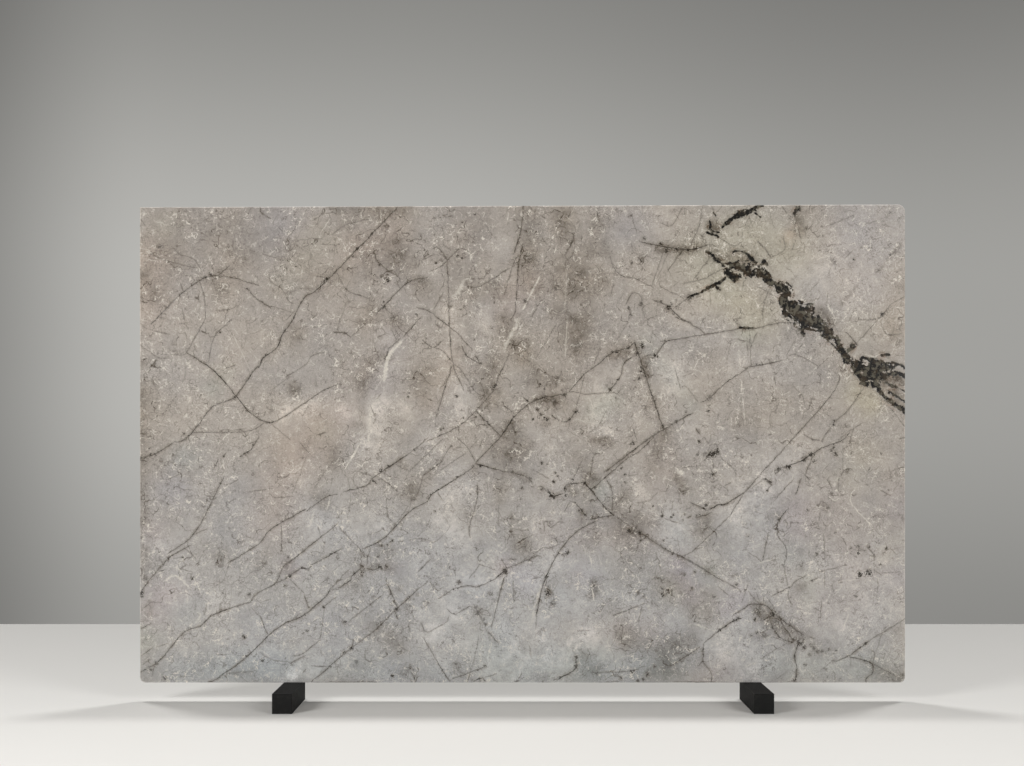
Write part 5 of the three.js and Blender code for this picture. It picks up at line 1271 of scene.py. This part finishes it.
def veinsAndSpots(add, wander):
    # The dark mineral in the veins and spots, and the haze around them. A second thin strand weaves across
    # each vein, and shows best where the vein itself fades.
    farSlow, farQuick = slabStone["weave"]
    weave = add("Math", (wander["slowBlue"], farSlow, -(farSlow + farQuick) / 2), operation="MULTIPLY_ADD")
    weave = add("Math", (wander["quickGreen"], farQuick, weave), operation="MULTIPLY_ADD")
    handOver = add("MapRange", {
        "Value": wander["slowGreen"], "From Min": 0.38, "From Max": 0.6, "To Min": 0.85, "To Max": 0.3})
    core, strands, haze = 0.0, 0.0, 0.0
    for number in range(slabStone["veinLayers"]):
        across, ratio, swollen, strength = lineLayer(add, f"vein{number}", wander)
        line = add("MapRange", {"Value": swollen, "From Min": 1.3, "From Max": 0.6},
                   interpolation_type="SMOOTHSTEP")
        line = add("Math", (line, strength), operation="MULTIPLY")
        core = add("Math", (core, line), operation="MAXIMUM")
        woven = add("Math", (across, weave), operation="ADD")
        woven = add("Math", (woven,), operation="ABSOLUTE")
        strand = add("MapRange", {"Value": woven, "From Min": 1.4, "From Max": 0.4},
                     interpolation_type="SMOOTHSTEP")
        strand = add("Math", (strand, strength), operation="MULTIPLY")
        strands = add("Math", (strands, strand), operation="MAXIMUM")
        around = add("MapRange", {"Value": ratio, "From Min": 9.0, "From Max": 0.5},
                     interpolation_type="SMOOTHSTEP")
        around = add("Math", (around, strength), operation="MULTIPLY")
        haze = add("Math", (haze, around), operation="MAXIMUM")
    core = add("Math", (core, wander["broken"]), operation="MULTIPLY")
    strands = add("Math", (strands, handOver), operation="MULTIPLY")
    core = add("Math", (core, strands), operation="MAXIMUM")
    # the spots have ragged edges
    byQuick, byCrumb = slabStone["ragged"]
    ragged = add("Math", (wander["quickBlue"], byQuick, -(byQuick + byCrumb) / 2), operation="MULTIPLY_ADD")
    ragged = add("Math", (wander["crumb"], byCrumb, ragged), operation="MULTIPLY_ADD")
    for number in range(slabStone["spotLayers"]):
        carried = add("Attribute", output="Vector", attribute_name=f"spot{number}")
        parts = add("SeparateXYZ", {"Vector": carried})
        flat = add("VectorMath", (carried, (1, 1, 0)), operation="MULTIPLY")
        radii = add("VectorMath", (flat,), operation="LENGTH")
        torn = add("Math", (radii, ragged), operation="ADD")
        spot = add("MapRange", {"Value": torn, "From Min": 1.05, "From Max": 0.4},
                   interpolation_type="SMOOTHSTEP")
        spot = add("Math", (spot, parts.outputs["Z"]), operation="MULTIPLY")
        core = add("Math", (core, spot), operation="MAXIMUM")
        around = add("MapRange", {"Value": radii, "From Min": 2.6, "From Max": 0.6},
                     interpolation_type="SMOOTHSTEP")
        around = add("Math", (around, parts.outputs["Z"]), operation="MULTIPLY")
        haze = add("Math", (haze, around), operation="MAXIMUM")
    return core, haze


def noiseLine(add, noisePart, outer, inner):
    # a thin line wherever a noise passes through its middle value
    centred = add("Math", (noisePart, 0.5), operation="SUBTRACT")
    centred = add("Math", (centred,), operation="ABSOLUTE")
    return add("MapRange", {"Value": centred, "From Min": outer, "From Max": inner},
               interpolation_type="SMOOTHSTEP")


def hairlines(add, swirled, cloud, near, broken):
    # fine cracks, denser near the veins and in shaded stone, and a net of healed ones
    hair = 0.0
    for size, rough, width, alone in slabStone["hairs"]:
        noise = add("TexNoise", {
            "Vector": swirled, "Scale": 1 / size, "Detail": 3.0, "Roughness": rough}, "Color")
        noise = add("SeparateColor", {"Color": noise})
        for part, low, high in (("Red", 0.48, 0.6), ("Green", 0.52, 0.4)):
            line = noiseLine(add, noise.outputs[part], width, 0.3 * width)
            chosen = add("MapRange", {
                "Value": noise.outputs["Blue"], "From Min": low, "From Max": high, "To Max": alone})
            chosen = add("Math", (chosen, near), operation="ADD")
            line = add("Math", (line, chosen), operation="MULTIPLY")
            hair = add("Math", (hair, line), operation="MAXIMUM")
    netSize = slabStone["netSize"]
    cells = add("TexVoronoi", {"Vector": swirled, "Scale": 1 / netSize, "Randomness": 1.0},
                feature="DISTANCE_TO_EDGE")
    line = add("MapRange", {"Value": cells, "From Min": 1.3 / netSize, "From Max": 0.4 / netSize},
               interpolation_type="SMOOTHSTEP")
    chosen = add("MapRange", {"Value": cloud, "From Min": 0.54, "From Max": 0.42, "To Max": 0.4})
    chosen = add("Math", (chosen, near), operation="ADD")
    line = add("Math", (line, chosen), operation="MULTIPLY")
    hair = add("Math", (hair, line), operation="MAXIMUM")
    hair = add("Math", (hair, broken), operation="MULTIPLY")
    return add("Math", (hair, slabStone["darkest"]), operation="MULTIPLY", use_clamp=True)


def shellCurls(add, inMm, patches):
    # shell fragments: short pale and dark curls, in flocks; each comes with its colour's name
    curls = []
    noise = add("TexNoise", {
        "Vector": inMm, "Scale": 1 / slabStone["curlSize"], "Detail": 2.0, "Roughness": 0.5}, "Color")
    noise = add("SeparateColor", {"Color": noise})
    flocks = add("MapRange", {
        "Value": patches, "From Min": 0.42, "From Max": 0.6, "To Min": 0.5, "To Max": 1.15})
    for part, low, high, strength, colour in slabStone["curls"]:
        line = noiseLine(add, noise.outputs[part], *slabStone["curlLine"])
        chosen = add("MapRange", {
            "Value": noise.outputs["Green"], "From Min": low, "From Max": high, "To Max": strength})
        amount = add("Math", (line, chosen), operation="MULTIPLY")
        amount = add("Math", (amount, flocks), operation="MULTIPLY")
        curls.append((amount, colour))
    return curls


def crystalGrains(add, swirled, near):
    # crystal grains that stand out as pale or dark dots; those without a share crowd in shaded stone
    dots = []
    crowding = add("Math", (near, *slabStone["crowding"]), operation="MULTIPLY_ADD")
    for size, share, radius, strength, colour in slabStone["grains"]:
        grains = add("TexVoronoi", {"Vector": swirled, "Scale": 1 / size, "Randomness": 1.0})
        kind = add("SeparateColor", {"Color": grains.outputs["Color"]}, "Red")
        if share:
            chosen = add("MapRange", {"Value": kind, "From Min": share, "From Max": 0.1 * share})
        else:
            chosen = add("Math", (kind, crowding), operation="LESS_THAN")
        grain = add("MapRange", {
            "Value": grains.outputs["Distance"], "From Min": radius / size,
            "From Max": 0.4 * radius / size, "To Max": strength})
        amount = add("Math", (grain, chosen), operation="MULTIPLY", use_clamp=True)
        dots.append((amount, colour))
    return dots


def paleStreaking(add, wander):
    # pale calcite, thinner and more broken than the dark veins
    pale = 0.0
    for number in range(slabStone["streakLayers"]):
        *_, swollen, strength = lineLayer(add, f"streak{number}", wander)
        line = add("MapRange", {"Value": swollen, "From Min": 1.5, "From Max": 0.4},
                   interpolation_type="SMOOTHSTEP")
        line = add("Math", (line, strength), operation="MULTIPLY")
        pale = add("Math", (pale, line), operation="MAXIMUM")
    pale = add("Math", (pale, wander["broken"]), operation="MULTIPLY", use_clamp=True)
    return add("Math", (pale, slabStone["palest"]), operation="MULTIPLY")


def seamOver(add, wander, body):
    # the black seam: ragged edges, grey-green islands, a rusty greenish fringe
    bySlow, byQuick = slabStone["tear"]
    tear = add("Math", (wander["slowBlue"], bySlow, -(bySlow + byQuick) / 2), operation="MULTIPLY_ADD")
    tear = add("Math", (wander["quickBlue"], byQuick, tear), operation="MULTIPLY_ADD")
    outside = slabStone["seamOutside"]
    depth, torn = -outside, -outside  # how deep inside the seam, in mm
    for number in range(slabStone["seamLayers"]):
        carried = add("Attribute", output="Vector", attribute_name=f"seam{number}")
        parts = add("SeparateXYZ", {"Vector": carried})
        offset = add("Math", (parts.outputs["X"],), operation="ABSOLUTE")
        inner = add("Math", (parts.outputs["Y"], offset), operation="SUBTRACT")
        faded = add("Math", (parts.outputs["Z"], outside, -outside), operation="MULTIPLY_ADD")
        inner = add("Math", (inner, faded), operation="ADD")
        depth = add("Math", (depth, inner), operation="MAXIMUM")
        reach = add("Math", (parts.outputs["Y"], *slabStone["tearReach"]), operation="MULTIPLY_ADD")
        inner = add("Math", (tear, reach, inner), operation="MULTIPLY_ADD")
        torn = add("Math", (torn, inner), operation="MAXIMUM")
    seamHere = add("MapRange", {"Value": torn, "From Min": -1.6, "From Max": 1.6})
    island = add("Math", (wander["quickGreen"], wander["slowRed"]), operation="ADD")
    island = add("MapRange", {"Value": island, "From Min": 1.0, "From Max": 1.13, "To Max": 0.8})
    rusty = add("MapRange", {"Value": wander["slowGreen"], "From Min": 0.48, "From Max": 0.58})
    black, brown, grey, rust = (
        linearColour(slabStone[key]) for key in ("seamBlack", "seamBrown", "seamGrey", "rust"))
    seamTone = add("Mix", {"Factor": rusty, "A": black, "B": brown}, data_type="RGBA")
    seamTone = add("Mix", {"Factor": island, "A": seamTone, "B": grey}, data_type="RGBA")
    fringe = add("MapRange", {"Value": depth, "From Min": -26.0, "From Max": 4.0, "To Max": 0.8})
    fringe = add("Math", (fringe, wander["clouded"]), operation="MULTIPLY")
    fringeTone = add("Mix", {"Factor": rusty, "A": grey, "B": rust}, data_type="RGBA")
    body = add("Mix", {"Factor": fringe, "A": body, "B": fringeTone}, data_type="RGBA")
    return add("Mix", {"Factor": seamHere, "A": body, "B": seamTone}, data_type="RGBA"), seamHere


def marbleMaterial(name, roughness, lightness, sawMarks):
    # Polished limestone marble: warm grey, mottled at every scale, with crisp mineral-filled cracks
    # under the gloss. Sawn, the same stone looks paler and dull, with level scratches from the blades.
    material, add = newMaterial(name)
    place = add("TexCoord", output="Object")
    inMm = add("VectorMath", {0: place, "Scale": 1000.0}, operation="SCALE")
    swirl = add("TexNoise", {"Vector": inMm, "Scale": 1 / slabStone["swirlSize"], "Detail": 2.0}, "Color")
    swirled = add("VectorMath", (swirl, (slabStone["swirlPush"],) * 3, inMm), operation="MULTIPLY_ADD")
    cloud = add("TexNoise", {"Vector": inMm, "Scale": 1 / slabStone["cloudSize"], "Detail": 3.0})
    patches = add("TexNoise", {"Vector": inMm, "Scale": 1 / slabStone["patchSize"], "Detail": 2.0})
    shade = add("Attribute", output="Fac", attribute_name="shade")
    wander = veinWander(add, inMm)
    core, haze = veinsAndSpots(add, wander)
    # how near the veins and how shaded the stone is, which brings more hairlines and grains
    byHaze, byShade = slabStone["near"]
    near = add("Math", (haze, byHaze), operation="MULTIPLY")
    near = add("Math", (shade, byShade, near), operation="MULTIPLY_ADD")

    body = stoneTone(add, swirled, cloud, patches, shade)
    haze = add("Math", (haze, wander["clouded"]), operation="MULTIPLY")
    darkening = add("Math", (core, slabStone["darkest"]), operation="MULTIPLY", use_clamp=True)
    laidOver = [
        (hairlines(add, swirled, cloud, near, wander["broken"]), "hairDark"),
        *shellCurls(add, inMm, patches),
        *crystalGrains(add, swirled, near),
        (haze, "veinHaze"),
        (paleStreaking(add, wander), "streak"),
        (darkening, "veinDark"),
    ]
    for amount, colour in laidOver:
        body = add("Mix", {"Factor": amount, "A": body, "B": linearColour(slabStone[colour])},
                   data_type="RGBA")
    body, seamHere = seamOver(add, wander, body)
    body = add("VectorMath", {0: body, "Scale": lightness}, operation="SCALE")

    # veins take the polish less well than the stone
    dull = add("Math", (core, seamHere), operation="MAXIMUM")
    uneven = add("MapRange", {
        "Value": cloud, "From Min": 0.3, "From Max": 0.7,
        "To Min": roughness - slabStone["uneven"], "To Max": roughness + slabStone["uneven"]})
    gloss = add("Math", (dull, slabStone["dullVeins"], uneven), operation="MULTIPLY_ADD")
    relief = add("Math", (dull, -1.0, 1.0), operation="MULTIPLY_ADD")
    if sawMarks:
        drawnOut = add("Mapping", {"Vector": inMm, "Scale": (0.02, 1, 1)})
        scratches = add("TexNoise", {"Vector": drawnOut, "Scale": 1 / slabStone["sawPitch"], "Detail": 3.0})
        relief = add("Math", (scratches, sawMarks, relief), operation="MULTIPLY_ADD")
    bump = add("Bump", {"Height": relief, "Distance": slabStone["relief"], "Strength": 0.5})
    shader = add("BsdfPrincipled", {"Base Color": body, "Roughness": gloss, "IOR": 1.5, "Normal": bump})
    add("OutputMaterial", {"Surface": shader})
    return material


for finish, roughness, lightness, sawMarks in slabStone["finishes"]:
    slabMesh.materials.append(marbleMaterial(finish, roughness, lightness, sawMarks))
slabMesh.set_sharp_from_angle(angle=math.radians(slabStone["sharpAngle"]))
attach(slab, "root")
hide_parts("marble_slab")
print("slab dressed")
